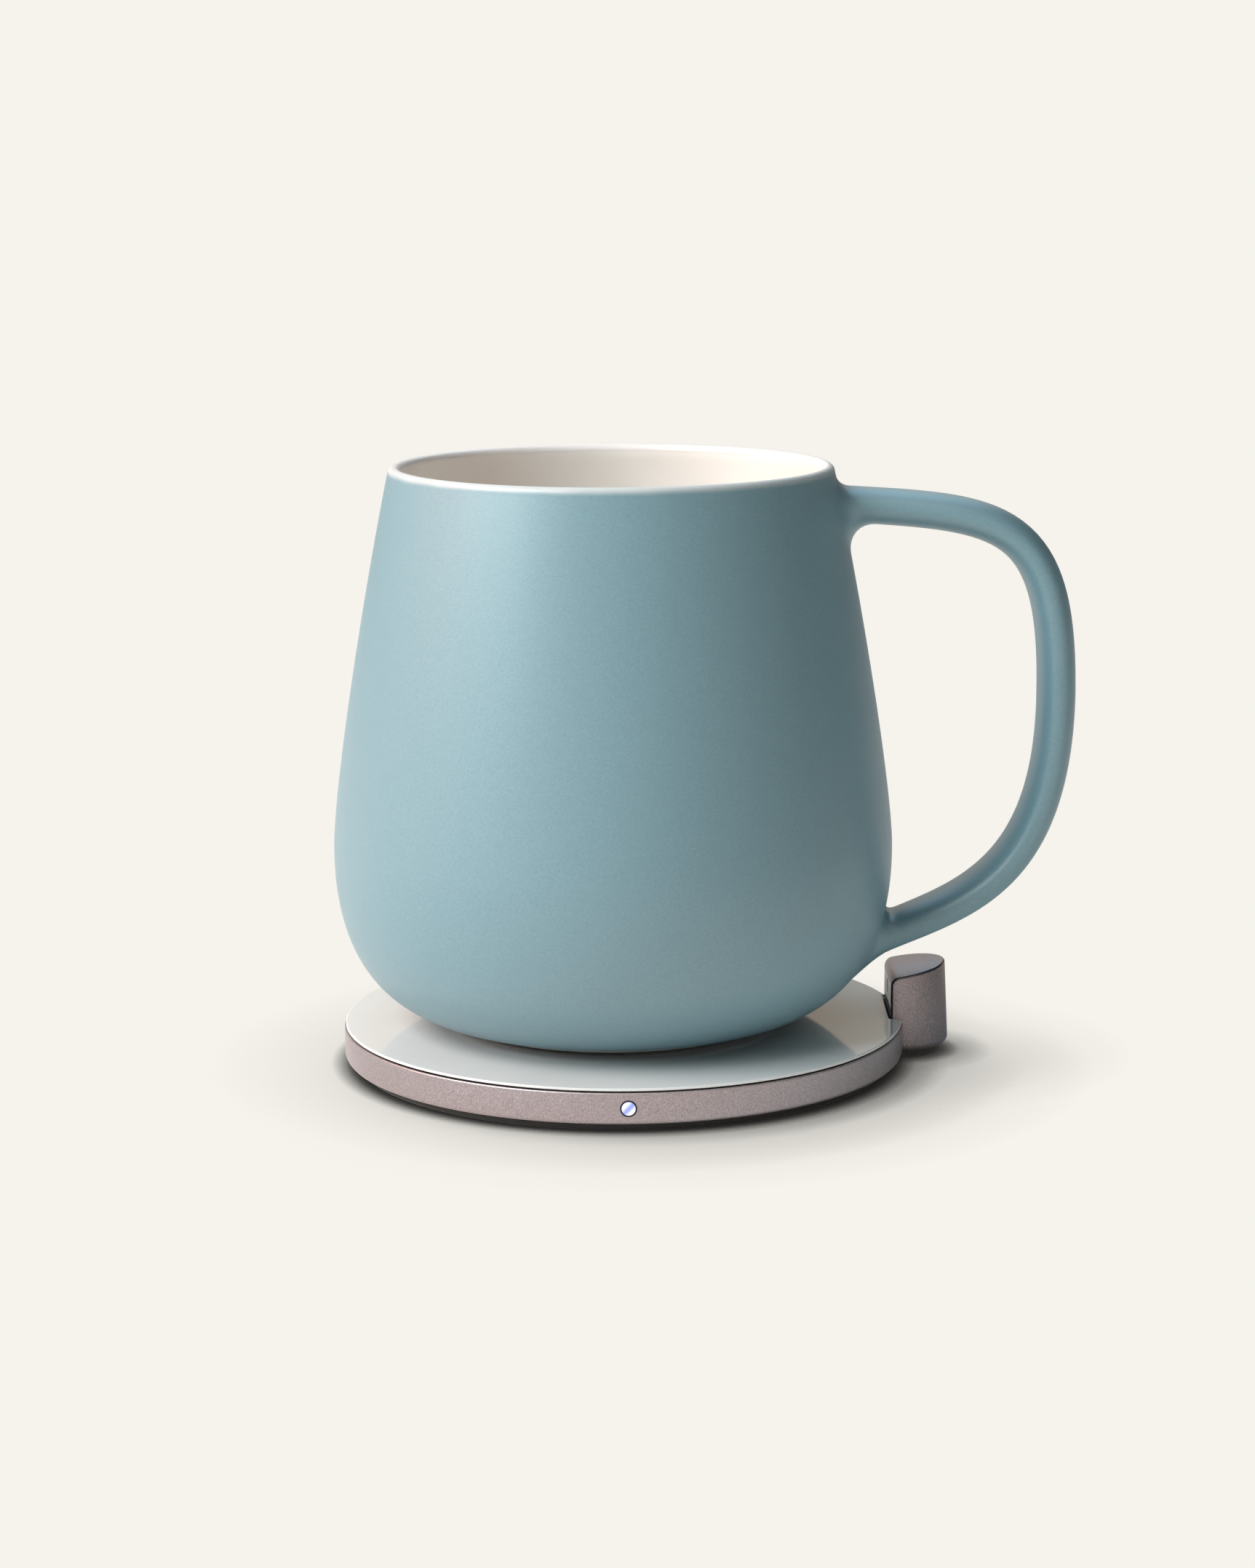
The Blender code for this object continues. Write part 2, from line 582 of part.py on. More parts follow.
def mug_base(parent, looks):
    """The sealed stack below the cup's floor, from the base plate up to the heat spreader."""
    plate_top = BASE_PLATE_THICKNESS
    turned(
        "base_plate",
        ring_outline(0, BASE_PLATE_RADIUS, 0, plate_top),
        looks["base"],
        DISC_SEGMENTS,
        parent,
    )
    gasket_bottom = plate_top + CLEARANCE
    turned(
        "base_gasket",
        ring_outline(
            BASE_PLATE_RADIUS - BASE_GASKET_WIDTH,
            BASE_PLATE_RADIUS,
            gasket_bottom,
            gasket_bottom + BASE_GASKET_THICKNESS,
        ),
        looks["seal"],
        DISC_SEGMENTS,
        parent,
    )
    level = plate_top + CLEARANCE
    layers = (
        ("receiver_coil", RECEIVER_COIL_INNER_RADIUS, RECEIVER_COIL_THICKNESS, "copper"),
        ("receiver_ferrite", 0, RECEIVER_FERRITE_THICKNESS, "ferrite"),
        ("receiver_board", 0, RECEIVER_BOARD_THICKNESS, "board"),
    )
    for name, inner, thickness, look in layers:
        outline = ring_outline(inner, STACK_RADIUS, level, level + thickness)
        turned(name, outline, looks[look], DISC_SEGMENTS, parent)
        level += thickness + CLEARANCE
    placed_block(
        "receiver_chip",
        (RECEIVER_CHIP_REACH, 0),
        (RECEIVER_CHIP_SIZE, RECEIVER_CHIP_SIZE),
        level,
        RECEIVER_CHIP_HEIGHT,
        0,
        looks["chip"],
        parent,
    )
    for index, side in ((1, 1), (2, -1)):
        placed_block(
            f"receiver_capacitor_{index}",
            (-RECEIVER_CHIP_REACH, side * RECEIVER_CAPACITOR_REACH),
            (RECEIVER_CAPACITOR_LENGTH, RECEIVER_CAPACITOR_WIDTH),
            level,
            RECEIVER_CHIP_HEIGHT,
            0,
            looks["capacitor"],
            parent,
        )
    level += RECEIVER_CHIP_HEIGHT + CLEARANCE
    insulation = turned(
        "insulation_disc",
        ring_outline(0, STACK_RADIUS, level, level + INSULATION_THICKNESS),
        looks["felt"],
        DISC_SEGMENTS,
        parent,
    )
    level += INSULATION_THICKNESS
    fuse_level = level - FUSE_RADIUS
    pocket = FUSE_RADIUS + CLEARANCE
    pocket_end = FUSE_LENGTH / 2 + CLEARANCE
    slot = block(
        "fuse_slot",
        (-pocket_end, FUSE_REACH - pocket, fuse_level - pocket),
        (pocket_end, FUSE_REACH + pocket, level + OVERRUN),
        looks["felt"],
        parent,
    )
    cut(insulation, slot)
    rod(
        "thermal_fuse",
        FUSE_RADIUS,
        (-FUSE_LENGTH / 2, FUSE_REACH, fuse_level),
        (FUSE_LENGTH / 2, FUSE_REACH, fuse_level),
        looks["steel"],
        parent,
    )
    level += CLEARANCE
    turned(
        "film_heater",
        ring_outline(0, STACK_RADIUS, level, level + HEATER_THICKNESS),
        looks["film"],
        DISC_SEGMENTS,
        parent,
    )
    level += HEATER_THICKNESS + CLEARANCE
    spreader_top = RECESS_TOP - CLEARANCE
    turned(
        "heat_spreader",
        ring_outline(SPREADER_HOLE_RADIUS, STACK_RADIUS, level, spreader_top),
        looks["aluminium"],
        DISC_SEGMENTS,
        parent,
    )
    turned(
        "floor_thermistor",
        ring_outline(0, SPREADER_HOLE_RADIUS - CLEARANCE, level, spreader_top),
        looks["chip"],
        ROD_SEGMENTS,
        parent,
    )


def post_radius(level):
    """The post's outer radius at a level."""
    return POST_BASE_RADIUS - math.tan(POST_DRAFT) * (level - RING_BOTTOM)


def post_round(inset, bottom, top):
    """The outline of the post's tapered round side, moved in by inset."""
    return [(0, bottom), (post_radius(bottom) - inset, bottom), (post_radius(top) - inset, top), (0, top)]


def post_side(parent, look):
    """A block with the post's side view: upright flat, rounded edge and sloping top."""
    steps = 6
    sweep = math.pi / 2 - POST_TOP_SLOPE
    outline = [(POST_FLAT_X, RING_BOTTOM - OVERRUN)]
    for step in range(steps + 1):
        angle = math.pi - sweep * step / steps
        x = POST_ROUND_X + POST_TOP_ROUND * math.cos(angle)
        outline.append((x, WINDOW_TOP + POST_TOP_ROUND * math.sin(angle)))
    outline.append((POST_REACH, POST_TOP + POST_TOP_RISE_SHARE * POST_REACH))
    outline.append((POST_REACH, RING_BOTTOM - OVERRUN))
    corners = [(x, -POST_REACH, z) for x, z in outline]
    return prism("post_side_view", corners, (0, 2 * POST_REACH, 0), look, parent)


def cable_port(parent, look):
    """The way for the flat cable through the ring and the post's front wall."""
    room = CABLE_WIDTH / 2 + CLEARANCE
    low = (POST_FLAT_X - OVERRUN, -room, CABLE_BOTTOM - CLEARANCE)
    high = (POST_CAVITY_X + OVERRUN / 2, room, CABLE_BOTTOM + CABLE_THICKNESS + CLEARANCE)
    return block("cable_port", low, high, look, parent)


def post_housing(parent, look, port):
    """The hollow metal post, with the window's seat and the screw boss."""
    steps = 3
    outline = [(0, RING_BOTTOM)]
    for step in range(steps + 1):
        angle = math.pi / 2 * step / steps
        level = RING_BOTTOM + POST_BOTTOM_ROUND * (1 - math.cos(angle))
        inset = POST_BOTTOM_ROUND * (1 - math.sin(angle))
        outline.append((post_radius(level) - inset, level))
    outline += [(post_radius(POST_SHELL_TOP), POST_SHELL_TOP), (0, POST_SHELL_TOP)]
    housing = turned("post_housing", outline, look, DISC_SEGMENTS, parent)
    keep_inside(housing, post_side(parent, look))
    seat_outline = post_round(WINDOW_EDGE, MUG_BASE - CLEARANCE, WINDOW_TOP + CLEARANCE)
    seat = turned("window_seat", seat_outline, look, DISC_SEGMENTS, parent)
    seat_back = block(
        "window_seat_back",
        (WINDOW_BACK_X + CLEARANCE, -POST_REACH, -OVERRUN),
        (POST_REACH, POST_REACH, POST_SHELL_TOP),
        look,
        parent,
    )
    cut(seat, seat_back)
    core_outline = post_round(POST_WALL, RING_BOTTOM - OVERRUN, WINDOW_TOP)
    core = turned("post_core", core_outline, look, DISC_SEGMENTS, parent)
    core_front = block(
        "post_core_front",
        (-POST_REACH, -POST_REACH, -OVERRUN),
        (POST_CAVITY_X, POST_REACH, POST_SHELL_TOP),
        look,
        parent,
    )
    boss = rod(
        "post_boss",
        POST_BOSS_RADIUS,
        (POST_SCREW_REACH, 0, POST_BASE_TOP + CLEARANCE),
        (POST_SCREW_REACH, 0, POST_SHELL_TOP),
        look,
        parent,
    )
    cut(core, core_front, boss)
    room = SENSOR_RADIUS + CLEARANCE
    sensor_port = block(
        "sensor_port",
        (WINDOW_BACK_X, -room, LENS_LEVEL - room),
        (POST_CAVITY_X + OVERRUN / 2, room, LENS_LEVEL + room),
        look,
        parent,
    )
    pilot = rod(
        "post_pilot_hole",
        COVER_SCREW_RADIUS + CLEARANCE,
        (POST_SCREW_REACH, 0, RING_BOTTOM - OVERRUN),
        (POST_SCREW_REACH, 0, POST_SCREW_TOP + CLEARANCE),
        look,
        parent,
    )
    cut(housing, seat, core, sensor_port, pilot, port)
    return pilot


def post_window(parent, glass, lens):
    """The glossy window on the post's flat, and the round lens in its hole."""
    outline = post_round(WINDOW_EDGE + CLEARANCE, MUG_BASE, WINDOW_TOP)
    window = turned("post_window", outline, glass, DISC_SEGMENTS, parent)
    slab = block(
        "window_slab",
        (POST_FLAT_X, -POST_REACH, MUG_BASE - OVERRUN),
        (WINDOW_BACK_X, POST_REACH, WINDOW_TOP + OVERRUN),
        glass,
        parent,
    )
    keep_inside(window, slab)
    hole = rod(
        "lens_hole",
        LENS_RADIUS + CLEARANCE,
        (POST_FLAT_X - OVERRUN, 0, LENS_LEVEL),
        (WINDOW_BACK_X + OVERRUN, 0, LENS_LEVEL),
        glass,
        parent,
    )
    cut(window, hole)
    front, back = (POST_FLAT_X, 0, LENS_LEVEL), (WINDOW_BACK_X, 0, LENS_LEVEL)
    rod("sensor_lens", LENS_RADIUS, front, back, lens, parent)


def post_inside(parent, looks, pilot):
    """The sensor on its upright board, the flat cable, and the base with its screw."""
    front = (SENSOR_FRONT_X, 0, LENS_LEVEL)
    back = (SENSOR_FRONT_X + SENSOR_DEPTH, 0, LENS_LEVEL)
    rod("infrared_sensor", SENSOR_RADIUS, front, back, looks["steel"], parent)
    board_back = POST_BOARD_X + POST_BOARD_THICKNESS
    board_top = WINDOW_TOP - CLEARANCE
    narrowest = post_radius(board_top) - POST_WALL - 2 * CLEARANCE
    half = math.sqrt(narrowest**2 - board_back**2)
    block(
        "post_board",
        (POST_BOARD_X, -half, POST_BASE_TOP + CLEARANCE),
        (board_back, half, board_top),
        looks["board"],
        parent,
    )
    outline = post_round(POST_WALL + CLEARANCE, RING_BOTTOM, POST_BASE_TOP)
    base = turned("post_base", outline, looks["moulded"], DISC_SEGMENTS, parent)
    base_front = block(
        "post_base_front",
        (-POST_REACH, -POST_REACH, -OVERRUN),
        (POST_CAVITY_X + CLEARANCE, POST_REACH, POST_SHELL_TOP),
        looks["moulded"],
        parent,
    )
    sink = rod(
        "post_screw_sink",
        COVER_SCREW_HEAD_RADIUS + CLEARANCE,
        (POST_SCREW_REACH, 0, RING_BOTTOM - OVERRUN),
        (POST_SCREW_REACH, 0, RING_BOTTOM + COVER_SCREW_HEAD_HEIGHT),
        looks["moulded"],
        parent,
    )
    cut(base, base_front, sink, pilot)
    fastener = screw("post_screw", POST_SCREW_TOP - RING_BOTTOM, looks["steel"], parent)
    fastener.location = (POST_SCREW_REACH, 0, RING_BOTTOM)
    half = CABLE_WIDTH / 2
    block(
        "sensor_cable",
        (BOARD_OUTER_RADIUS + CLEARANCE - POST_CENTRE_X, -half, CABLE_BOTTOM),
        (POST_BOARD_X - CLEARANCE, half, CABLE_BOTTOM + CABLE_THICKNESS),
        looks["film"],
        parent,
    )


def screw(name, length, look, parent=None):
    """A pan head screw that stands on its head, with a drive dimple below."""
    sunk = COVER_SCREW_HEAD_HEIGHT - CLEARANCE
    outline = [
        (0, sunk / 2),
        (SCREW_DIMPLE_RADIUS, 0),
        (COVER_SCREW_HEAD_RADIUS, 0),
        (COVER_SCREW_HEAD_RADIUS, sunk),
        (COVER_SCREW_RADIUS, sunk),
        (COVER_SCREW_RADIUS, length),
        (0, length),
    ]
    return turned(name, outline, look, ROD_SEGMENTS, parent)


def pad_shell(looks):
    """The ring, the plate with its gasket, the foot, and the bottom cover with its screws."""
    bottom_round = []
    steps = 4
    for step in range(steps + 1):
        angle = math.pi / 2 * step / steps
        bottom_round.append(
            (
                PAD_RADIUS - RING_FOOT_ROUND * (1 - math.sin(angle)),
                RING_BOTTOM + RING_FOOT_ROUND * (1 - math.cos(angle)),
            )
        )
    edge_radius = PAD_RADIUS - RING_TOP_CHAMFER
    ring = turned(
        "ring_housing",
        [(RING_INNER_RADIUS, RING_BOTTOM)]
        + bottom_round
        + [
            (PAD_RADIUS, RING_TOP - RING_TOP_CHAMFER),
            (edge_radius, RING_TOP),
            (edge_radius - PLATE_UNDERCUT, SHELF_LEVEL),
            (RING_INNER_RADIUS, SHELF_LEVEL),
            (RING_INNER_RADIUS, FLANGE_TOP),
            (FLANGE_INNER_RADIUS, FLANGE_TOP),
            (FLANGE_INNER_RADIUS, FLANGE_BOTTOM),
            (RING_INNER_RADIUS, FLANGE_BOTTOM),
        ],
        looks["anodised"],
        PAD_SEGMENTS,
    )
    plate = turned(
        "top_plate",
        [
            (0, PLATE_BOTTOM),
            (edge_radius - PLATE_UNDERCUT, PLATE_BOTTOM),
            (edge_radius, RING_TOP + CLEARANCE),
            (edge_radius, PLATE_TOP - PLATE_EDGE_BEVEL),
            (edge_radius - PLATE_EDGE_BEVEL, PLATE_TOP),
            (0, PLATE_TOP),
        ],
        looks["plate"],
        PAD_SEGMENTS,
    )
    gasket_outer = RING_INNER_RADIUS - GASKET_INSET
    gasket = turned(
        "plate_gasket",
        ring_outline(gasket_outer - GASKET_WIDTH, gasket_outer, GASKET_BOTTOM, SHELF_LEVEL),
        looks["seal"],
        PAD_SEGMENTS,
    )
    foot_radius = PAD_RADIUS - FOOT_INSET
    turned(
        "silicone_foot",
        [
            (0, 0),
            (foot_radius - FOOT_ROUND, 0),
            (foot_radius, FOOT_ROUND),
            (foot_radius, FOOT_HEIGHT),
            (0, FOOT_HEIGHT),
        ],
        looks["silicone"],
        PAD_SEGMENTS,
    )
    rib_radius = (BOARD_INNER_RADIUS + BOARD_OUTER_RADIUS) / 2
    rib_top = COVER_TOP + BOARD_RIB_HEIGHT
    cover = turned(
        "bottom_cover",
        [
            (0, RING_BOTTOM),
            (COVER_RADIUS, RING_BOTTOM),
            (COVER_RADIUS, COVER_TOP),
            (rib_radius + BOARD_RIB_WIDTH / 2, COVER_TOP),
            (rib_radius + BOARD_RIB_WIDTH / 2, rib_top),
            (rib_radius - BOARD_RIB_WIDTH / 2, rib_top),
            (rib_radius - BOARD_RIB_WIDTH / 2, COVER_TOP),
            (0, COVER_TOP),
        ],
        looks["moulded"],
        PAD_SEGMENTS,
    )
    head_top = RING_BOTTOM + COVER_SCREW_HEAD_HEIGHT
    for index in range(COVER_SCREWS):
        angle = 2 * math.pi * (index + 0.5) / COVER_SCREWS
        x, y = SCREW_CIRCLE_RADIUS * math.cos(angle), SCREW_CIRCLE_RADIUS * math.sin(angle)
        collar = rod(
            f"cover_collar_{index + 1}",
            COVER_COLLAR_RADIUS,
            (x, y, RING_BOTTOM + COVER_THICKNESS / 2),
            (x, y, FLANGE_BOTTOM - CLEARANCE),
            looks["moulded"],
        )
        shape_with(cover, collar, "UNION")
        sink = rod(
            f"cover_screw_sink_{index + 1}",
            COVER_SCREW_HEAD_RADIUS + CLEARANCE,
            (x, y, RING_BOTTOM - OVERRUN),
            (x, y, head_top),
            looks["moulded"],
        )
        hole = rod(
            f"cover_screw_hole_{index + 1}",
            COVER_SCREW_RADIUS + CLEARANCE,
            (x, y, RING_BOTTOM - OVERRUN),
            (x, y, FLANGE_TOP + CLEARANCE),
            looks["steel"],
        )
        cut(cover, sink, hole)
        cut(ring, hole)
        fastener = screw(f"cover_screw_{index + 1}", FLANGE_TOP - RING_BOTTOM, looks["steel"])
        fastener.location = (x, y, RING_BOTTOM)
    return ring, plate, gasket


def post_notch(ring, plate, parent, looks):
    """The post's outline, with its clearance, out of the ring and the plate."""
    top = PLATE_TOP + OVERRUN
    notch = turned(
        "post_notch",
        post_round(-CLEARANCE, RING_BOTTOM - OVERRUN, top),
        looks["anodised"],
        DISC_SEGMENTS,
        parent,
    )
    notch_front = block(
        "post_notch_front",
        (-POST_REACH, -POST_REACH, RING_BOTTOM - 2 * OVERRUN),
        (POST_FLAT_X - CLEARANCE, POST_REACH, top + OVERRUN),
        looks["anodised"],
        parent,
    )
    cut(notch, notch_front)
    cut(ring, notch)
    cut(plate, notch)


def pad_inside(looks):
    """The coil stack and the ring-shaped board with its parts."""
    carrier_bottom = COVER_TOP + CLEARANCE
    floor_top = carrier_bottom + CARRIER_FLOOR
    ferrite_bottom = floor_top + CLEARANCE
    coil_bottom = ferrite_bottom + FERRITE_THICKNESS + CLEARANCE
    inner = CARRIER_RADIUS - CARRIER_RIM
    turned(
        "coil_carrier",
        [
            (0, carrier_bottom),
            (CARRIER_RADIUS, carrier_bottom),
            (CARRIER_RADIUS, coil_bottom),
            (inner, coil_bottom),
            (inner, floor_top),
            (0, floor_top),
        ],
        looks["moulded"],
        DISC_SEGMENTS,
    )
    turned(
        "ferrite_disc",
        ring_outline(0, inner - CLEARANCE, ferrite_bottom, ferrite_bottom + FERRITE_THICKNESS),
        looks["ferrite"],
        DISC_SEGMENTS,
    )
    turned(
        "transmitter_coil",
        ring_outline(COIL_INNER_RADIUS, inner - CLEARANCE, coil_bottom, coil_bottom + COIL_THICKNESS),
        looks["copper"],
        DISC_SEGMENTS,
    )
    turned(
        "pad_thermistor",
        ring_outline(0, BEAD_RADIUS, coil_bottom, coil_bottom + COIL_THICKNESS),
        looks["chip"],
        ROD_SEGMENTS,
    )
    turned(
        "main_board",
        ring_outline(BOARD_INNER_RADIUS, BOARD_OUTER_RADIUS, BOARD_BOTTOM, BOARD_TOP),
        looks["board"],
        PAD_SEGMENTS,
    )
    middle = (BOARD_INNER_RADIUS + BOARD_OUTER_RADIUS) / 2
    seat = BOARD_TOP + CLEARANCE
    parts = [
        ("inductor", INDUCTOR_BEARING, INDUCTOR_SIZE, INDUCTOR_SIZE, INDUCTOR_HEIGHT, "ferrite"),
        ("controller_chip", CONTROLLER_BEARING, CONTROLLER_SIZE, CONTROLLER_SIZE, CHIP_HEIGHT, "chip"),
        ("bridge_chip", BRIDGE_BEARING, BRIDGE_SIZE, BRIDGE_SIZE, CHIP_HEIGHT, "chip"),
    ]
    for index in range(RESONANCE_CAPACITORS):
        name = f"resonance_capacitor_{index + 1}"
        turn = CAPACITOR_BEARING + CAPACITOR_BEARING_STEP * index
        parts.append((name, turn, CAPACITOR_LENGTH, CAPACITOR_WIDTH, CAPACITOR_HEIGHT, "capacitor"))
    for name, turn, length, width, height, look in parts:
        centre = (middle * math.cos(turn), middle * math.sin(turn))
        placed_block(name, centre, (length, width), seat, height, turn, looks[look])


def indicator(ring, looks):
    """The side-lit LED on the board's edge and the light pipe through the ring."""
    led_front = -(BOARD_OUTER_RADIUS + CLEARANCE + LED_BODY_DEPTH)
    half = LED_BODY_SIZE / 2
    block(
        "status_led",
        (LED_OFFSET_X - half, led_front, LED_LEVEL - half),
        (LED_OFFSET_X + half, led_front + LED_BODY_DEPTH, LED_LEVEL + half),
        looks["led"],
    )
    steps = 4
    start = -PAD_RADIUS
    dome = []
    for step in range(steps + 1):
        angle = math.pi / 2 * step / steps
        dome.append((LED_LENS_RADIUS * math.cos(angle), LED_DOME_HEIGHT * math.sin(angle)))
    length = (led_front - CLEARANCE) - start
    outline = [(0, -length), (LED_LENS_RADIUS, -length)] + dome[:-1] + [(0, LED_DOME_HEIGHT)]
    lens = turned("led_lens", outline, looks["led"], ROD_SEGMENTS)
    lens.location = (LED_OFFSET_X, start, LED_LEVEL)
    lens.rotation_euler.x = math.pi / 2
    hole = rod(
        "led_hole",
        LED_LENS_RADIUS + CLEARANCE,
        (LED_OFFSET_X, start - OVERRUN, LED_LEVEL),
        (LED_OFFSET_X, led_front + LED_BODY_DEPTH, LED_LEVEL),
        looks["led"],
    )
    cut(ring, hole)


def stadium(width, height, steps=4):
    """A flat slot shape with round ends, as (x, z) points around its middle."""
    radius = height / 2
    points = []
    for side in (1, -1):
        for step in range(steps + 1):
            angle = -math.pi / 2 + math.pi * step / steps
            x = side * (width / 2 - radius + radius * math.cos(angle))
            points.append((x, side * radius * math.sin(angle)))
    return points


def slot_block(name, width, height, start_y, length, look):
    """A bar of stadium section along Y at the inlet's level."""
    outline = [(x, start_y, USB_LEVEL + z) for x, z in stadium(width, height)]
    return prism(name, outline, (0, length, 0), look)


def inlet(ring, gasket, looks):
    """The socket in the ring's back, with its tongue, and the mouth cut for it."""
    mouth_y = PAD_RADIUS - USB_MOUTH_INSET
    rear_y = mouth_y - USB_DEPTH
    socket = slot_block("usb_socket", USB_WIDTH, USB_HEIGHT, rear_y, USB_DEPTH, looks["steel"])
    inside = slot_block(
        "usb_socket_inside",
        USB_WIDTH - 2 * USB_WALL,
        USB_HEIGHT - 2 * USB_WALL,
        rear_y + USB_REAR_WALL,
        USB_DEPTH + OVERRUN,
        looks["steel"],
    )
    cut(socket, inside)
    half_width, half_height = USB_TONGUE_WIDTH / 2, USB_TONGUE_THICKNESS / 2
    tongue_y = rear_y + USB_REAR_WALL + CLEARANCE
    block(
        "usb_tongue",
        (-half_width, tongue_y, USB_LEVEL - half_height),
        (half_width, tongue_y + USB_TONGUE_LENGTH, USB_LEVEL + half_height),
        looks["moulded"],
    )
    room = slot_block(
        "usb_mouth",
        USB_WIDTH + 2 * CLEARANCE,
        USB_HEIGHT + 2 * CLEARANCE,
        FLANGE_INNER_RADIUS - OVERRUN,
        PAD_RADIUS - FLANGE_INNER_RADIUS + 2 * OVERRUN,
        looks["steel"],
    )
    cut(ring, room)
    cut(gasket, room)


clear_scene()
LOOKS = {
    "glaze": finish("matte_glaze", "8BABB0", 0.55),
    "base": finish("base_polymer", "D8D8D6", 0.6),
    "seal": finish("black_foam", "1C1C1C", 0.9),
    "silicone": finish("dark_silicone", "242221", 0.8),
    "copper": finish("litz_copper", "B06A3C", 0.4, 1),
    "ferrite": finish("ferrite", "3A3836", 0.7),
    "board": finish("circuit_board", "1F5A3A", 0.5),
    "chip": finish("black_epoxy", "1A1A1C", 0.5),
    "capacitor": finish("ceramic_chip", "B59A74", 0.5),
    "felt": finish("insulating_felt", "E4E0D6", 0.9),
    "film": finish("polyimide_film", "B4691E", 0.4),
    "steel": finish("nickel_steel", "A8A8AA", 0.3, 1),
    "aluminium": finish("plain_aluminium", "C8C9CB", 0.35, 1),
    "anodised": finish("anodised_aluminium", "A89C9D", 0.45, 1),
    "plate": finish("white_plate", "E8E8E8", 0.12),
    "glass": finish("window_glass", "5C6262", 0.1),
    "lens": finish("black_lens", "0A0A0B", 0.05),
    "led": finish("milky_lens", "D6DCF6", 0.2),
    "moulded": finish("black_moulding", "202022", 0.6),
}
MUG_FRAME = frame_at("mug_frame", MUG_OFFSET_X, 0, MUG_BASE)
POST_FRAME = frame_at("post_frame", POST_CENTRE_X, POST_CENTRE_Y, 0)
mug_body(MUG_FRAME, LOOKS["glaze"])
mug_handle(MUG_FRAME, LOOKS["glaze"])
mug_base(MUG_FRAME, LOOKS)
RING, PLATE, GASKET = pad_shell(LOOKS)
PORT = cable_port(POST_FRAME, LOOKS["anodised"])
PILOT = post_housing(POST_FRAME, LOOKS["anodised"], PORT)
post_window(POST_FRAME, LOOKS["glass"], LOOKS["lens"])
post_inside(POST_FRAME, LOOKS, PILOT)
post_notch(RING, PLATE, POST_FRAME, LOOKS)
cut(RING, PORT)
pad_inside(LOOKS)
indicator(RING, LOOKS)
inlet(RING, GASKET, LOOKS)
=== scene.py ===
"""A self heating ceramic mug on its charging pad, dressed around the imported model.

Lengths are millimetres until a mesh is made, and areas of light are metres. The frame is the model's:
+Z up from the table, the origin at the pad's axis, +X to the handle and the post, -Y to the front.
"""

import math

import bmesh
import bpy
import numpy as np
from mathutils import Matrix, Vector


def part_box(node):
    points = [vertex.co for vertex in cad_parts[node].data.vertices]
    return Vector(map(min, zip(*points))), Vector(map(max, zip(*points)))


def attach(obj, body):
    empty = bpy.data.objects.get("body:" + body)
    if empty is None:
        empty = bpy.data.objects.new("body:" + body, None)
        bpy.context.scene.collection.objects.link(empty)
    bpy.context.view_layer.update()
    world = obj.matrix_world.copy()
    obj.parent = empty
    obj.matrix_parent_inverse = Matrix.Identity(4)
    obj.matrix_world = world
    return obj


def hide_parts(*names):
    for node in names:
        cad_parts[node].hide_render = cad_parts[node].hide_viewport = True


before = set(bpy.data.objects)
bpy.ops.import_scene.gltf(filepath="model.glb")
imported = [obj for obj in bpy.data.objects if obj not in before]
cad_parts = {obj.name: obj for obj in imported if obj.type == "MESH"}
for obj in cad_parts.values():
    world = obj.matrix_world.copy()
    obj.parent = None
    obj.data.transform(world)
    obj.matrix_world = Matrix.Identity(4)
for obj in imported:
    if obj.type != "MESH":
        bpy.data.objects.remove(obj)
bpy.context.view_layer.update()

# Camera: a long lens from the front, a little above the mug, as the photograph was taken. Its place,
# tilt and focal length were solved from the pad's rim, the mug's lip and both silhouettes.
MM = 0.001
IMAGE_HEIGHT = 2156
SENSOR_HEIGHT = 36.0
FOCAL_PIXELS = 4973.8
CAMERA_PLACE = (0.0, -570.7, 153.66)
CAMERA_YAW, CAMERA_PITCH, CAMERA_ROLL = (math.radians(a) for a in (0.078, 10.775, -0.273))

forward = np.array(
    (
        math.sin(CAMERA_YAW) * math.cos(CAMERA_PITCH),
        math.cos(CAMERA_YAW) * math.cos(CAMERA_PITCH),
        -math.sin(CAMERA_PITCH),
    )
)
level_right = np.array((math.cos(CAMERA_YAW), -math.sin(CAMERA_YAW), 0.0))
level_up = np.cross(level_right, forward)
right = level_right * math.cos(CAMERA_ROLL) + level_up * math.sin(CAMERA_ROLL)
up = np.cross(right, forward)
camera = bpy.data.objects.new("camera", bpy.data.cameras.new("camera"))
camera.data.sensor_width = SENSOR_HEIGHT
camera.data.lens = FOCAL_PIXELS / IMAGE_HEIGHT * SENSOR_HEIGHT
columns = [right, up, -forward, np.array(CAMERA_PLACE) * MM]
camera.matrix_world = Matrix([[column[i] for column in columns] for i in range(3)] + [[0, 0, 0, 1]])
bpy.context.scene.collection.objects.link(camera)
bpy.context.scene.camera = camera
bpy.context.scene.view_settings.view_transform = "Standard"


# Floor and light: a seamless pale paper sweep in a daylight studio, lit by square softboxes. Outside
# the object's soft shadow the paper burns out to the even backdrop. Metal, glaze and gloss coat
# mirror the lit paper, and studio walls that are brightest on the key softbox's side.
BACKDROP_HEX, PAPER_HEX = "F6F3EC", "F3F0EA"
FLOOR_SIZE = 6000.0
KEY_SIDE, WALLS_BETWEEN = (-0.8, -0.6, 0.0), (-0.8, 0.6)
WALLS_OPPOSITE, WALLS_NEAR_KEY = 0.1, 1.2
FILL, FILL_HEX, BOUNCE = 0.19, "E8F2F4", 0.28
LAMP_DISTANCE, LAMP_SIZE, LAMP_AIM_HEIGHT = 1100.0, 800.0, 45.0
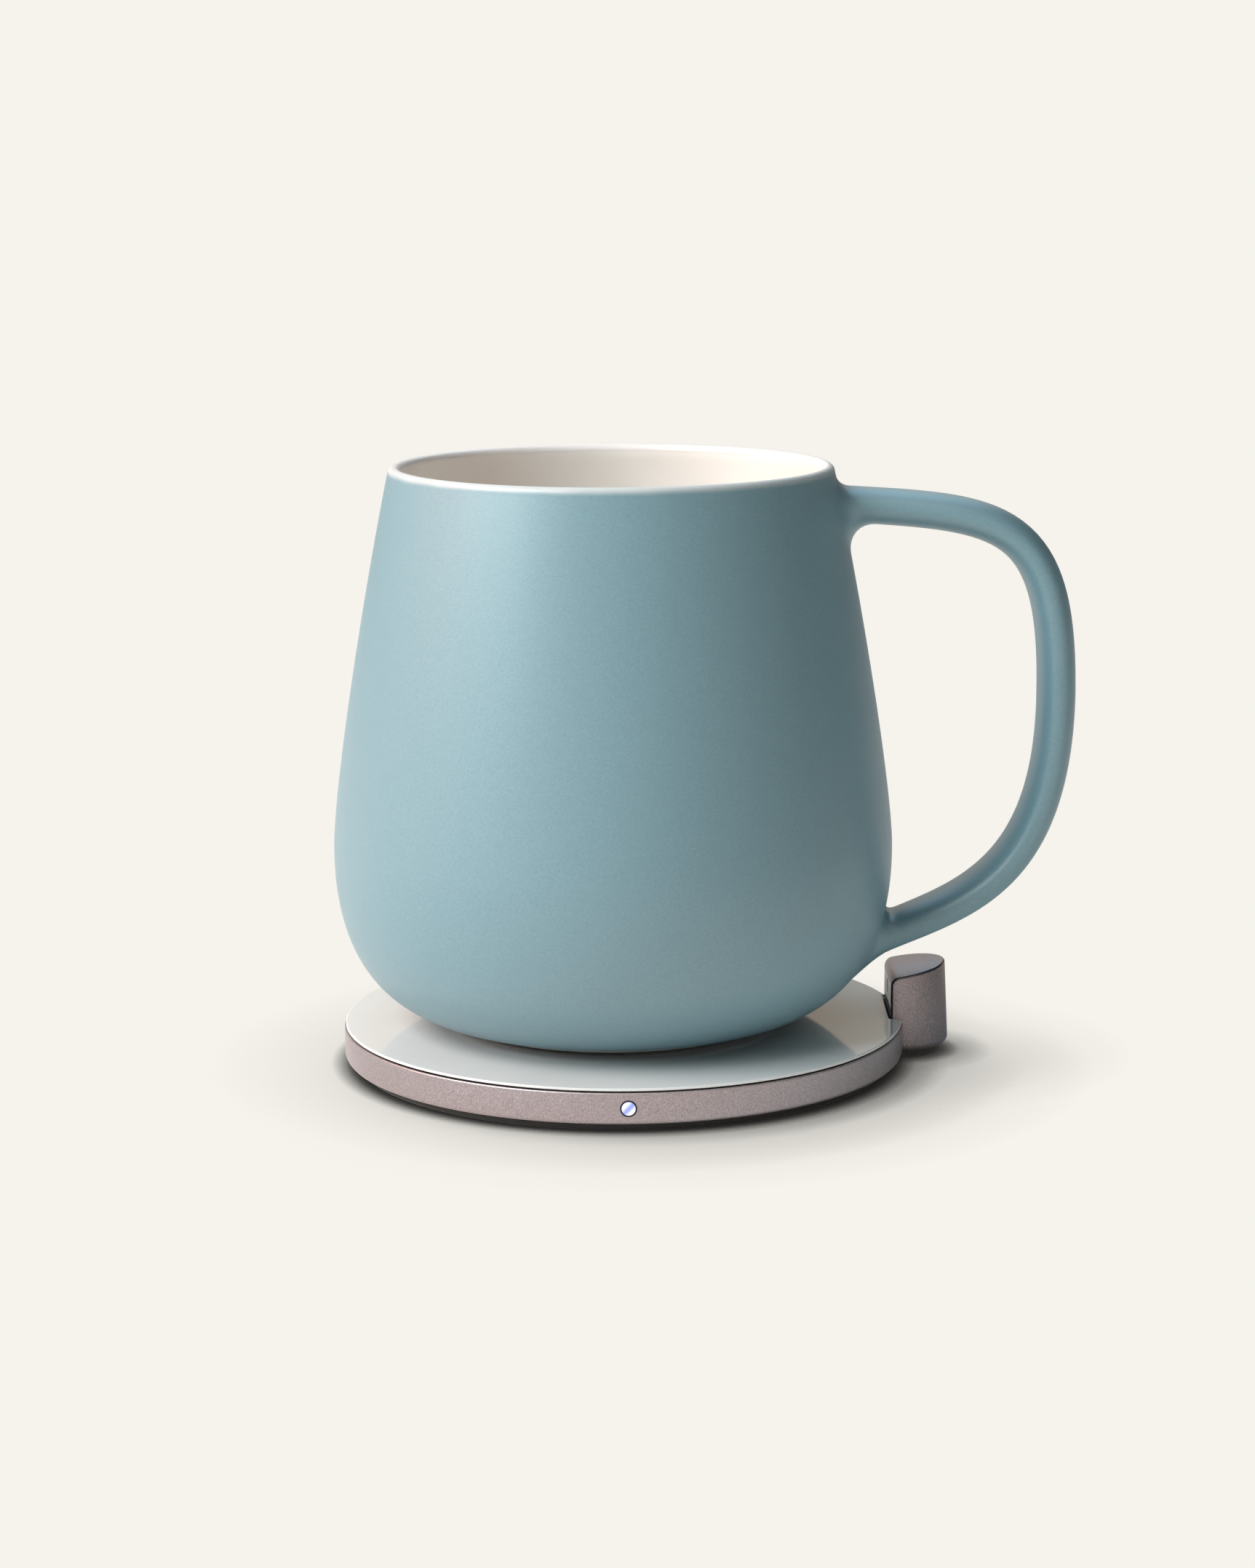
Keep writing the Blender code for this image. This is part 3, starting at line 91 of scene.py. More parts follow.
# Each softbox's degrees from the front round to the left, degrees up, watts and colour.
LAMPS = (
    ("key_softbox", 61, 37, 16.4, "F4FDFF"),
    ("warm_wall", 92, 30, 5.4, "FFB088"),
    ("window_behind", 180, 45, 2.6, "A8E0FF"),
    ("low_strip_behind", 180, 12, 1.0, "FFE4C4"),
    ("overhead_softbox", 0, 84, 1.4, "FFF4F0"),
)
# Each shadow's reach, the way to the light that it takes away, and its depth.
SHADOWS = (
    (31.0, (-0.85, 0.49, 0.17), 0.78),
    (30.0, (0.0, 0.0, 1.0), 0.36),
    (8.0, (-0.87, 0.0, 0.5), 1.7),
    (3.0, (0.0, 0.0, 1.0), 3.2),
)
SHADOW_SAMPLES, SHADOW_ROOM = 3, 170.0


def linear(hex_colour):
    """An sRGB hex colour as linear RGBA."""
    channels = [int(hex_colour[i : i + 2], 16) / 255 for i in (0, 2, 4)]
    return [c / 12.92 if c <= 0.04045 else ((c + 0.055) / 1.055) ** 2.4 for c in channels] + [1.0]


def add(tree, kind, settings=None, links=None):
    """Adds a shader node, sets its properties and inputs, and links what feeds it."""
    made = tree.nodes.new("ShaderNode" + kind)
    for key, value in (settings or {}).items():
        if isinstance(key, str) and key.islower():
            setattr(made, key, value)
        else:
            made.inputs[key].default_value = value
    for key, source in (links or {}).items():
        tree.links.new(source, made.inputs[key])
    return made


def maths(tree, operation, first, second=0.0):
    """One sum of two values, each a number or a socket."""
    made = add(tree, "Math", {"operation": operation})
    for index, value in enumerate((first, second)):
        if isinstance(value, (int, float)):
            made.inputs[index].default_value = value
        else:
            tree.links.new(value, made.inputs[index])
    return made.outputs[0]


def ranged(tree, value, low, high, start=0.0, end=1.0, kind="LINEAR"):
    """Maps a value between low and high onto start to end."""
    made = add(
        tree,
        "MapRange",
        {"interpolation_type": kind, "From Min": low, "From Max": high, "To Min": start, "To Max": end},
        {"Value": value},
    )
    return made.outputs["Result"]


def mixed(tree, share, first, second):
    """A colour that runs from first to second, each a hex colour or a socket."""
    colours = {6: first, 7: second}
    plain = {key: linear(colour) for key, colour in colours.items() if isinstance(colour, str)}
    fed = {key: colour for key, colour in colours.items() if key not in plain}
    return add(tree, "Mix", {"data_type": "RGBA", **plain}, {0: share, **fed}).outputs[2]


def along(tree, way, space="Object"):
    """How far each place lies along a way, in the piece's own space or round the world."""
    place = add(tree, "TexCoord").outputs[space]
    return add(tree, "VectorMath", {"operation": "DOT_PRODUCT", 1: way}, {0: place}).outputs["Value"]


def straight_rays(tree, path):
    """1 for what the camera sees by itself or through a clear piece."""
    return maths(tree, "MAXIMUM", path["Is Camera Ray"], path["Is Transmission Ray"])


world = bpy.data.worlds.new("studio")
world.use_nodes = True
bpy.context.scene.world = world
tree = world.node_tree
path = add(tree, "LightPath").outputs
walls = ranged(tree, along(tree, KEY_SIDE, "Generated"), *WALLS_BETWEEN, WALLS_OPPOSITE, WALLS_NEAR_KEY)
mirrored = maths(tree, "MULTIPLY", walls, path["Is Glossy Ray"])
fill = maths(tree, "MULTIPLY", path["Is Diffuse Ray"], FILL)
strength = maths(tree, "MAXIMUM", maths(tree, "MAXIMUM", straight_rays(tree, path), mirrored), fill)
sky = mixed(tree, path["Is Diffuse Ray"], BACKDROP_HEX, FILL_HEX)
background = tree.nodes["Background"]
tree.links.new(sky, background.inputs["Color"])
tree.links.new(strength, background.inputs["Strength"])

for name, azimuth, elevation, watts, colour in LAMPS:
    lamp = bpy.data.lights.new(name, "AREA")
    lamp.shape = "SQUARE"
    lamp.size = LAMP_SIZE * MM
    lamp.energy = watts
    lamp.color = linear(colour)[:3]
    lamp_object = bpy.data.objects.new(name, lamp)
    turned_by, raised_by = math.radians(azimuth), math.radians(elevation)
    level = -math.cos(raised_by)
    way = Vector((math.sin(turned_by) * level, math.cos(turned_by) * level, math.sin(raised_by)))
    aim = Vector((0.0, 0.0, LAMP_AIM_HEIGHT * MM))
    lamp_object.location = aim + way * LAMP_DISTANCE * MM
    lamp_object.rotation_mode = "QUATERNION"
    lamp_object.rotation_quaternion = way.to_track_quat("Z", "Y")
    bpy.context.scene.collection.objects.link(lamp_object)

# Paper sweep: matte white paper. The camera sees it burnt out round the soft shadow, and past the
# shadow's room it is plainly even. All other rays see it as the lamps light it, with a small bounce.
sweep = bpy.data.materials.new("painted_paper_sweep")
sweep.use_nodes = True
tree = sweep.node_tree
tree.nodes.remove(tree.nodes["Principled BSDF"])
path = add(tree, "LightPath").outputs
shade = 0.0
for reach, towards, depth in SHADOWS:
    way = add(tree, "CombineXYZ", dict(enumerate(towards)))
    open_sky = add(
        tree,
        "AmbientOcclusion",
        {"samples": SHADOW_SAMPLES, "Distance": reach * MM},
        {"Normal": way.outputs[0]},
    )
    shade = maths(tree, "ADD", ranged(tree, open_sky.outputs["AO"], 0.0, 1.0, depth, 0.0), shade)
lit = maths(tree, "EXPONENT", maths(tree, "MULTIPLY", shade, -1.0))
backdrop = {"Color": linear(BACKDROP_HEX)}
shaded = add(tree, "Emission", backdrop, {"Strength": lit})
even = add(tree, "Emission", backdrop)
place = add(tree, "TexCoord").outputs["Object"]
off = add(tree, "VectorMath", {"operation": "LENGTH"}, {0: place}).outputs["Value"]
beyond = maths(tree, "GREATER_THAN", off, SHADOW_ROOM * MM)
burnt_out = add(tree, "MixShader", {}, {0: beyond, 1: shaded.outputs[0], 2: even.outputs[0]})
diffuse = add(tree, "BsdfDiffuse", {"Color": linear(PAPER_HEX)})
glow = maths(tree, "MULTIPLY", path["Is Diffuse Ray"], BOUNCE)
bounce = add(tree, "Emission", backdrop, {"Strength": glow})
paper = add(tree, "AddShader", {}, {0: diffuse.outputs[0], 1: bounce.outputs[0]})
seen = add(
    tree, "MixShader", {}, {0: straight_rays(tree, path), 1: paper.outputs[0], 2: burnt_out.outputs[0]}
)
tree.links.new(seen.outputs[0], tree.nodes["Material Output"].inputs["Surface"])
floor_mesh = bpy.data.meshes.new("floor")
half = FLOOR_SIZE / 2 * MM
floor_mesh.from_pydata(
    [(-half, -half, 0), (half, -half, 0), (half, half, 0), (-half, half, 0)], [], [(0, 1, 2, 3)]
)
floor_mesh.materials.append(sweep)
floor = bpy.data.objects.new("floor", floor_mesh)
bpy.context.scene.collection.objects.link(floor)


# Mug: slip cast porcelain, bowl and handle luted together while damp, so that the fillets run from
# one into the other. Outside and handle carry a matte blue green glaze, and the lip, the inside and
# the foot a glossy white one, which shows as a soft white edge where the matte glaze stops.
MUG_HEIGHT = 89.2
BELLY_RADIUS, BELLY_HEIGHT = 44.8, 28.0
BELLY_PULL_UP, BELLY_PULL_DOWN = 8.7, 19.5
RIM_RADIUS, RIM_TAPER, RIM_PULL = 35.3, math.radians(12), 22.7
FOOT_RADIUS, FOOT_STAND, FOOT_FLARE, FOOT_PULL = 26.6, 0.3, math.radians(9.2), 9.0
FOOT_WIDTH, FOOT_ROUND = 1.6, 0.4
LIP_THICKNESS, LIP_ROUND, LIP_STEPS = 2.0, 1.0, 12
WALL = 3.3
CUP_FLOOR_RADIUS, CUP_FLOOR_HEIGHT, CUP_FLOOR_PULL, CUP_CORNER_PULL = 28.0, 12.0, 11.0, 9.0
RECESS_HEIGHT = 9.0
# The bare edge is a real white edge, and its grey is painted shade on the lip's outer round.
SHADED_BARE_EDGE_HEX, CREST_HEX = "C6C9C9", "E6E1DE"
WHITE_EDGE_BELOW_RIM, WHITE_EDGE_SOFTNESS = 0.7, 1.3
WHITE_EDGE_WANDER, WHITE_EDGE_WAVE = 0.06, 5.0
NOISE_RANGE = (0.3, 0.7)
CURVE_STEPS, INSIDE_STEPS, CORNER_STEPS, FLOOR_STEPS, FOOT_STEPS = 200, 44, 30, 11, 5
COLUMNS, FOOT_ROWS, MIDDLE_ROWS, ROOT_ROWS = 192, 14, 42, 14
ROOT_HALF_COLUMNS, ROOT_MARGIN_COLUMNS, ROOT_MARGIN_ROWS = 9, 4, 3
HANDLE_TOP_HEIGHT, HANDLE_TOP_DROOP, HANDLE_TOP_PULL = 82.9, math.radians(3.7), 26.0
HANDLE_REACH, HANDLE_REACH_HEIGHT = 70.87, 52.6
HANDLE_SHOULDER_PULL, HANDLE_BACK_PULL = 29.1, 32.2
HANDLE_LOW_HEIGHT, HANDLE_LOW_RISE, HANDLE_LOW_PULL = 12.4, math.radians(24.7), 14.0
HANDLE_WIDTH, HANDLE_THICKNESSES, HANDLE_ROUNDNESS = 12.5, (5.6, 6.0, 5.4), 2.3
HANDLE_SINK, HANDLE_LOW_SINK = 8.0, 3.0
TOP_FILLETS, LOW_FILLETS, FLANK_FILLET, FILLET_TURN = (1.6, 4.9), (2.8, 1.8), 3.0, 2.0
TOP_ROOT, LOW_ROOT = (72.2, 87.6), (5.6, 20.6)
TOP_ROOT_RUN, LOW_ROOT_RUN = 8.5, 9.5
HANDLE_STEPS, HANDLE_RINGS, ROOT_RINGS, ROOT_SPREADS = 120, 72, 14, 20
SETTLE_ROUNDS, SPREAD_ROUNDS, PROBE, LEAST_SLOPE, LONGEST_STEP = 8, 2, 0.02, 0.2, 1.0
SECTION_REACH, WELD = 0.2, 0.002
SMOOTH_ANGLE, MUG_SMOOTH_ANGLE = math.radians(40), math.radians(50)


def corners_mm(node):
    """The lowest and highest corner of a CAD node, in millimetres."""
    return tuple(np.array(corner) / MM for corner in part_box(node))


def curve(start, pull_out, pull_in, end, steps):
    """Points along a cubic curve, both ends included."""
    t = np.linspace(0, 1, steps + 1)[:, None]
    weights = ((1 - t) ** 3, 3 * (1 - t) ** 2 * t, 3 * (1 - t) * t**2, t**3)
    return sum(w * np.array(p, float) for w, p in zip(weights, (start, pull_out, pull_in, end)))


def joined(*stretches):
    """Stretches of a line end to end, without the points they share."""
    points = [stretches[0]]
    for stretch in stretches[1:]:
        points.append(np.array(stretch, float)[1:])
    return np.vstack(points)


def runs_along(points):
    """The distance walked at each point of a line."""
    return np.concatenate(([0.0], np.cumsum(np.linalg.norm(np.diff(points, axis=0), axis=1))))


def walked(points, distances):
    """The points at these distances along a line."""
    runs = runs_along(points)
    return np.column_stack([np.interp(distances, runs, axis) for axis in points.T])


def arc(centre, radii, start, end, steps):
    """Points of an elliptic arc between two angles in degrees."""
    angles = np.radians(np.linspace(start, end, steps + 1))
    return np.column_stack(
        (centre[0] + radii[0] * np.cos(angles), centre[1] + radii[1] * np.sin(angles))
    )


def piece(name, points, faces, materials=()):
    """A mesh from points in millimetres."""
    mesh = bpy.data.meshes.new(name)
    mesh.from_pydata((np.asarray(points, float) * MM).tolist(), [], faces)
    for each in materials:
        mesh.materials.append(each)
    made = bpy.data.objects.new(name, mesh)
    bpy.context.scene.collection.objects.link(made)
    return made


def finished(made, body=None, smooth=SMOOTH_ANGLE):
    """Welds a mesh, turns its faces outward, smooths it and lets it ride on its body."""
    bm = bmesh.new()
    bm.from_mesh(made.data)
    bmesh.ops.remove_doubles(bm, verts=bm.verts, dist=WELD * MM)
    bmesh.ops.dissolve_degenerate(bm, edges=bm.edges, dist=WELD / 4 * MM)
    bmesh.ops.recalc_face_normals(bm, faces=bm.faces)
    bm.to_mesh(made.data)
    bm.free()
    made.data.shade_smooth()
    made.data.set_sharp_from_angle(angle=smooth)
    if body:
        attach(made, body)
    return made


def principled(name, hex_colour, roughness, metallic=0.0, **sockets):
    """A Principled material, its node tree and its shader."""
    made = bpy.data.materials.new(name)
    made.use_nodes = True
    shader = made.node_tree.nodes["Principled BSDF"]
    shader.inputs["Base Color"].default_value = linear(hex_colour)
    shader.inputs["Roughness"].default_value = roughness
    shader.inputs["Metallic"].default_value = metallic
    for key, value in sockets.items():
        shader.inputs[key.replace("_", " ")].default_value = value
    return made, made.node_tree, shader


def noise(tree, size, detail=2.0, stretch=(1.0, 1.0, 1.0)):
    """Noise whose grains are size millimetres apart, in the piece's own space."""
    place = add(tree, "TexCoord").outputs["Object"]
    scaled = add(tree, "Mapping", {"Scale": stretch}, {"Vector": place})
    made = add(
        tree, "TexNoise", {"Scale": 1.0 / (size * MM), "Detail": detail}, {"Vector": scaled.outputs[0]}
    )
    return made.outputs["Fac"]


def tinted(tree, shader, share, dark, light):
    """Base colour that runs from dark to light, each a hex colour or a socket."""
    tree.links.new(mixed(tree, share, dark, light), shader.inputs["Base Color"])


def bumped(tree, shader, height, depth):
    """Surface relief of this depth in millimetres."""
    made = add(tree, "Bump", {"Distance": depth * MM}, {"Height": height})
    tree.links.new(made.outputs[0], shader.inputs["Normal"])


plate_low, plate_high = corners_mm("base_plate")
MUG_X = (plate_low[0] + plate_high[0]) / 2
MUG_BASE = plate_low[2]


def softly(tree, value, middle, softness):
    """0 below a middle in millimetres and 1 above it, with a soft change between."""
    low, high = ((middle + side * softness / 2) * MM for side in (-1, 1))
    return ranged(tree, value, low, high, kind="SMOOTHSTEP")


def whitened(tree, below_rim, softness):
    """1 where a glaze lies above a level under the rim, running softly to 0 below it."""
    wander = WHITE_EDGE_WANDER * MM
    waves = ranged(tree, noise(tree, WHITE_EDGE_WAVE, 1.0), *NOISE_RANGE, -wander, wander)
    level = maths(tree, "ADD", along(tree, (0.0, 0.0, 1.0)), waves)
    return softly(tree, level, MUG_BASE + MUG_HEIGHT - below_rim, softness)


# Matte glaze: fired silica matte, which scatters most of its sheen and keeps a faint speckle. It
# thins out to the bare porcelain over the rim's outer round, painted grey there as painted shade.
glaze, tree, shader = principled(
    "matte_blue_green_glaze", "6E8D97", 0.4, IOR=1.5, Specular_IOR_Level=0.75
)
speckle = noise(tree, 0.3, 3.0)
blue = mixed(tree, ranged(tree, speckle, *NOISE_RANGE), "698892", "73929C")
tinted(tree, shader, whitened(tree, WHITE_EDGE_BELOW_RIM, WHITE_EDGE_SOFTNESS), blue, SHADED_BARE_EDGE_HEX)
tree.links.new(ranged(tree, speckle, *NOISE_RANGE, 0.36, 0.44), shader.inputs["Roughness"])
bumped(tree, shader, speckle, 0.006)

# White glaze: clear gloss over white porcelain, with the slight waviness of a poured glaze. It is
# warmer inside, where it lies thick, than on the rim.
white_glaze, tree, shader = principled("glossy_white_glaze", "F6F0E9", 0.12, IOR=1.5)
pooling = noise(tree, 14.0, 1.0)
warm = mixed(tree, ranged(tree, pooling, *NOISE_RANGE), "F4EDE5", "F8F3ED")
crest = whitened(tree, LIP_ROUND, LIP_ROUND)
tinted(tree, shader, crest, warm, CREST_HEX)
tree.links.new(ranged(tree, crest, 0.0, 1.0, 0.12, 0.35), shader.inputs["Roughness"])
bumped(tree, shader, pooling, 0.03)

belly = (BELLY_RADIUS, BELLY_HEIGHT)
rim = (RIM_RADIUS, MUG_HEIGHT - LIP_ROUND)
foot = (FOOT_RADIUS, FOOT_STAND + FOOT_ROUND)
lower_wall = curve(
    foot,
    (foot[0] + FOOT_PULL * math.cos(FOOT_FLARE), foot[1] + FOOT_PULL * math.sin(FOOT_FLARE)),
    (BELLY_RADIUS, BELLY_HEIGHT - BELLY_PULL_DOWN),
    belly,
    CURVE_STEPS,
)
taper = (math.sin(RIM_TAPER) * RIM_PULL, -math.cos(RIM_TAPER) * RIM_PULL)
upper_wall = curve(
    belly,
    (BELLY_RADIUS, BELLY_HEIGHT + BELLY_PULL_UP),
    (rim[0] + taper[0], rim[1] + taper[1]),
    rim,
    CURVE_STEPS,
)
wall_line = joined(lower_wall, upper_wall)


def nearest_on(line, points):
    """Each flat point's distance, offset and step to the nearest piece of a line, and its run on it."""
    steps = np.diff(line, axis=0)
    offsets = points[:, None] - line[:-1][None]
    shares = np.clip((offsets * steps).sum(-1) / (steps**2).sum(-1), 0, 1)
    misses = offsets - shares[..., None] * steps
    gaps = np.linalg.norm(misses, axis=-1)
    found = gaps.argmin(1)
    rows = np.arange(len(points))
    lengths = np.linalg.norm(steps, axis=1)
    runs = runs_along(line)[found] + shares[rows, found] * lengths[found]
    return gaps[rows, found], misses[rows, found], steps[found], runs


def wall_distance(points):
    """How far points lie outside the outer wall, less than zero inside it."""
    flat = np.column_stack((np.hypot(points[:, 0], points[:, 1]), points[:, 2]))
    gap, miss, step, _ = nearest_on(wall_line[::2], flat)
    return gap * np.sign(miss[:, 0] * step[:, 1] - miss[:, 1] * step[:, 0])


back = (HANDLE_REACH, HANDLE_REACH_HEIGHT)
top = (RIM_RADIUS, HANDLE_TOP_HEIGHT)
low = (BELLY_RADIUS - HANDLE_LOW_SINK, HANDLE_LOW_HEIGHT)
top_way = np.array((math.cos(HANDLE_TOP_DROOP), -math.sin(HANDLE_TOP_DROOP)))
low_way = np.array((math.cos(HANDLE_LOW_RISE), math.sin(HANDLE_LOW_RISE)))
handle_line = joined(
    np.array((top - top_way * HANDLE_SINK, top)),
    curve(
        top,
        top + top_way * HANDLE_TOP_PULL,
        (back[0], back[1] + HANDLE_SHOULDER_PULL),
        back,
        HANDLE_STEPS,
    ),
    curve(
        back, (back[0], back[1] - HANDLE_BACK_PULL), low + low_way * HANDLE_LOW_PULL, low, HANDLE_STEPS
    ),
    np.array((low, low - low_way * HANDLE_SINK)),
)
handle_runs = runs_along(handle_line)
handle_total = handle_runs[-1] - HANDLE_SINK
handle_middle = handle_runs[HANDLE_STEPS + 1]


def half_thickness(runs):
    """Half the strap's thickness along its line."""
    knots = (HANDLE_SINK, handle_middle, handle_total)
    return np.interp(runs, knots, np.array(HANDLE_THICKNESSES) / 2)


def handle_distance(points):
    """Rough distance outside the strap, and the offset and run of each point on it."""
    _, miss, step, run = nearest_on(handle_line, points[:, [0, 2]])
    step = step / np.linalg.norm(step, axis=1)[:, None]
    rise = miss[:, 1] * step[:, 0] - miss[:, 0] * step[:, 1]
    b, a, n = half_thickness(run), HANDLE_WIDTH / 2, HANDLE_ROUNDNESS
    across_share, rise_share = np.abs(points[:, 1]) / a, np.abs(rise) / b
    level = np.maximum((across_share**n + rise_share**n) ** (1 / n), 1e-3)
    slope_across = (across_share / level) ** (n - 1) / a
    slope_rise = (rise_share / level) ** (n - 1) / b
    return (level - 1) / np.hypot(slope_across, slope_rise), rise, run


def mug_distance(points):
    """Distance outside wall and strap together, with a round fillet where they meet."""
    to_wall = wall_distance(points)
    to_strap, rise, run = handle_distance(points)
    upper = run < handle_middle
    outer = np.where(upper, TOP_FILLETS[0], LOW_FILLETS[0])
    inner = np.where(upper, TOP_FILLETS[1], LOW_FILLETS[1])
    turn = rise**2 / np.maximum(rise**2 + points[:, 1] ** 2 / 4, 1e-9)
    side = 0.5 + 0.5 * np.clip(rise / FILLET_TURN, -1, 1)
    radius = FLANK_FILLET * (1 - turn) + (inner + (outer - inner) * side) * turn
    near_wall = np.maximum(radius - to_wall, 0)
    near_strap = np.maximum(radius - to_strap, 0)
    return np.maximum(radius, np.minimum(to_wall, to_strap)) - np.hypot(near_wall, near_strap)


def settled(points, rounds=SETTLE_ROUNDS):
    """Points moved onto the surface of wall, strap and fillets."""
    points = np.array(points, float)
    for _ in range(rounds):
        off = mug_distance(points)
        slope = np.column_stack(
            [
                (mug_distance(points + step) - mug_distance(points - step)) / (2 * PROBE)
                for step in np.eye(3) * PROBE
            ]
        )
        square = np.maximum((slope**2).sum(1), LEAST_SLOPE)
        points -= slope * np.clip(off / square, -LONGEST_STEP, LONGEST_STEP)[:, None]
    return points


wall_runs = runs_along(wall_line)


def run_at(height):
    """The distance along the wall's line at a height above the mug's base."""
    return float(np.interp(height, wall_line[:, 1], wall_runs))


stations = np.concatenate(
    (
        np.linspace(0, run_at(LOW_ROOT[0]), FOOT_ROWS + 1)[:-1],
        np.linspace(run_at(LOW_ROOT[0]), run_at(LOW_ROOT[1]), ROOT_ROWS + 1),
        np.linspace(run_at(LOW_ROOT[1]), run_at(TOP_ROOT[0]), MIDDLE_ROWS + 1)[1:],
        np.linspace(run_at(TOP_ROOT[0]), run_at(TOP_ROOT[1]), ROOT_ROWS + 1)[1:],
        wall_runs[-1:],
    )
)
outside_rows = walked(wall_line, stations)
inside_belly = (BELLY_RADIUS - WALL, BELLY_HEIGHT)
inside_rim = (RIM_RADIUS - LIP_THICKNESS, rim[1])
lip = arc((RIM_RADIUS - LIP_THICKNESS / 2, rim[1]), (LIP_THICKNESS / 2, LIP_ROUND), 0, 180, LIP_STEPS)
inside = joined(
    curve(
        inside_rim,
        (inside_rim[0] + taper[0], inside_rim[1] + taper[1]),
        (inside_belly[0], BELLY_HEIGHT + BELLY_PULL_UP),
        inside_belly,
        INSIDE_STEPS,
    ),
    curve(
        inside_belly,
        (inside_belly[0], BELLY_HEIGHT - CUP_CORNER_PULL),
        (CUP_FLOOR_RADIUS + CUP_FLOOR_PULL, CUP_FLOOR_HEIGHT),
        (CUP_FLOOR_RADIUS, CUP_FLOOR_HEIGHT),
        CORNER_STEPS,
    ),
    np.linspace((CUP_FLOOR_RADIUS, CUP_FLOOR_HEIGHT), (0.0, CUP_FLOOR_HEIGHT), FLOOR_STEPS + 1),
)
recess_radius = FOOT_RADIUS - FOOT_WIDTH
under = joined(
    np.array(((0.0, RECESS_HEIGHT), (recess_radius, RECESS_HEIGHT))),
    np.array(((recess_radius, RECESS_HEIGHT), (recess_radius, foot[1]))),
    arc((recess_radius + FOOT_ROUND, foot[1]), (FOOT_ROUND,) * 2, 180, 270, FOOT_STEPS),
    arc((FOOT_RADIUS - FOOT_ROUND, foot[1]), (FOOT_ROUND,) * 2, 270, 360, FOOT_STEPS),
)
profile = joined(under, outside_rows, lip, inside)
first_outside = len(under) - 1
last_outside = first_outside + len(outside_rows) - 1
low_root_row = first_outside + FOOT_ROWS
top_root_row = last_outside - 1 - ROOT_ROWS
azimuths = 2 * np.pi * np.arange(COLUMNS) / COLUMNS
grid = np.stack(
    (
        profile[:, :1] * np.cos(azimuths),
        profile[:, :1] * np.sin(azimuths),
        np.repeat(profile[:, 1:], COLUMNS, axis=1),
    ),
    axis=-1,
)
around = (np.arange(COLUMNS) + COLUMNS // 2) % COLUMNS - COLUMNS // 2
near_columns = np.abs(around) <= ROOT_HALF_COLUMNS + ROOT_MARGIN_COLUMNS
for first_row in (low_root_row, top_root_row):
    last = min(first_row + ROOT_ROWS + ROOT_MARGIN_ROWS, last_outside - 1)
    for row in range(first_row - ROOT_MARGIN_ROWS, last + 1):
        grid[row, near_columns] = settled(grid[row, near_columns])

points = grid.reshape(-1, 3)
faces, face_materials = [], []
for row in range(len(profile) - 1):
    in_root = any(start <= row < start + ROOT_ROWS for start in (low_root_row, top_root_row))
    for column in range(COLUMNS):
        after = (column + 1) % COLUMNS
        if in_root and -ROOT_HALF_COLUMNS <= around[column] < ROOT_HALF_COLUMNS:
            continue
        a, b = row * COLUMNS + column, row * COLUMNS + after
        faces.append((a, b, b + COLUMNS, a + COLUMNS))
        face_materials.append(0 if first_outside <= row < last_outside + LIP_STEPS // 2 else 1)

half_rows = ROOT_ROWS // 2
loop = [(c, -half_rows) for c in range(-ROOT_HALF_COLUMNS, ROOT_HALF_COLUMNS)]
loop += [(ROOT_HALF_COLUMNS, r) for r in range(-half_rows, half_rows)]
loop += [(c, half_rows) for c in range(ROOT_HALF_COLUMNS, -ROOT_HALF_COLUMNS, -1)]
loop += [(-ROOT_HALF_COLUMNS, r) for r in range(half_rows, -half_rows, -1)]
loop = np.array(loop)
turns = np.arctan2(loop[:, 1] / half_rows, loop[:, 0] / ROOT_HALF_COLUMNS)


def strap_section(run):
    """The strap's closed section at a run along its line."""
    centre = walked(handle_line, [run])[0]
    before, after = walked(handle_line, [run - SECTION_REACH, run + SECTION_REACH])
    way = (after - before) / np.linalg.norm(after - before)
    c, s = np.cos(turns), np.sin(turns)
    power = 2 / HANDLE_ROUNDNESS
    across = np.sign(c) * np.abs(c) ** power * HANDLE_WIDTH / 2
    rise = np.sign(s) * np.abs(s) ** power * half_thickness(run)
    return np.column_stack((centre[0] - way[1] * rise, across, centre[1] + way[0] * rise))


def root_edge(first_row, upside):
    """Indices of the wall's points around a root, in the order of the strap's section."""
    rows = first_row + half_rows + loop[:, 1] * upside
    return rows * COLUMNS + loop[:, 0] % COLUMNS


def root_rings(edge, section):
    """Rings from the wall's edge to the strap's section, spread evenly over the fillet."""
    shares = np.linspace(0, 1, ROOT_RINGS + 1)[1:-1]
    first, last = points[edge], section
    rings = [settled(first * (1 - share) + last * share) for share in shares]
    for _ in range(ROOT_SPREADS):
        for start in (0, 1):
            spread = [first, *rings, last]
            for k in range(start, len(rings), 2):
                rings[k] = settled((spread[k] + spread[k + 2]) / 2, SPREAD_ROUNDS)
    return rings


top_edge = root_edge(top_root_row, 1)
low_edge = root_edge(low_root_row, -1)
first_run = HANDLE_SINK + TOP_ROOT_RUN
last_run = handle_total - LOW_ROOT_RUN
sections = [strap_section(run) for run in np.linspace(first_run, last_run, HANDLE_RINGS + 1)]
rings = root_rings(top_edge, sections[0])
rings += sections
rings += root_rings(low_edge, sections[-1])[::-1]
indices = [top_edge]
for ring in rings:
    indices.append(len(points) + np.arange(len(loop)))
    points = np.vstack((points, ring))
indices.append(low_edge)
for near, far in zip(indices, indices[1:]):
    for k in range(len(loop)):
        n = (k + 1) % len(loop)
        faces.append((int(near[k]), int(near[n]), int(far[n]), int(far[k])))
        face_materials.append(0)

mug = piece("glazed_mug", points + (MUG_X, 0, MUG_BASE), faces, (glaze, white_glaze))
mug.data.polygons.foreach_set("material_index", face_materials)
finished(mug, "mug", MUG_SMOOTH_ANGLE)
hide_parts("mug_body", "mug_handle")


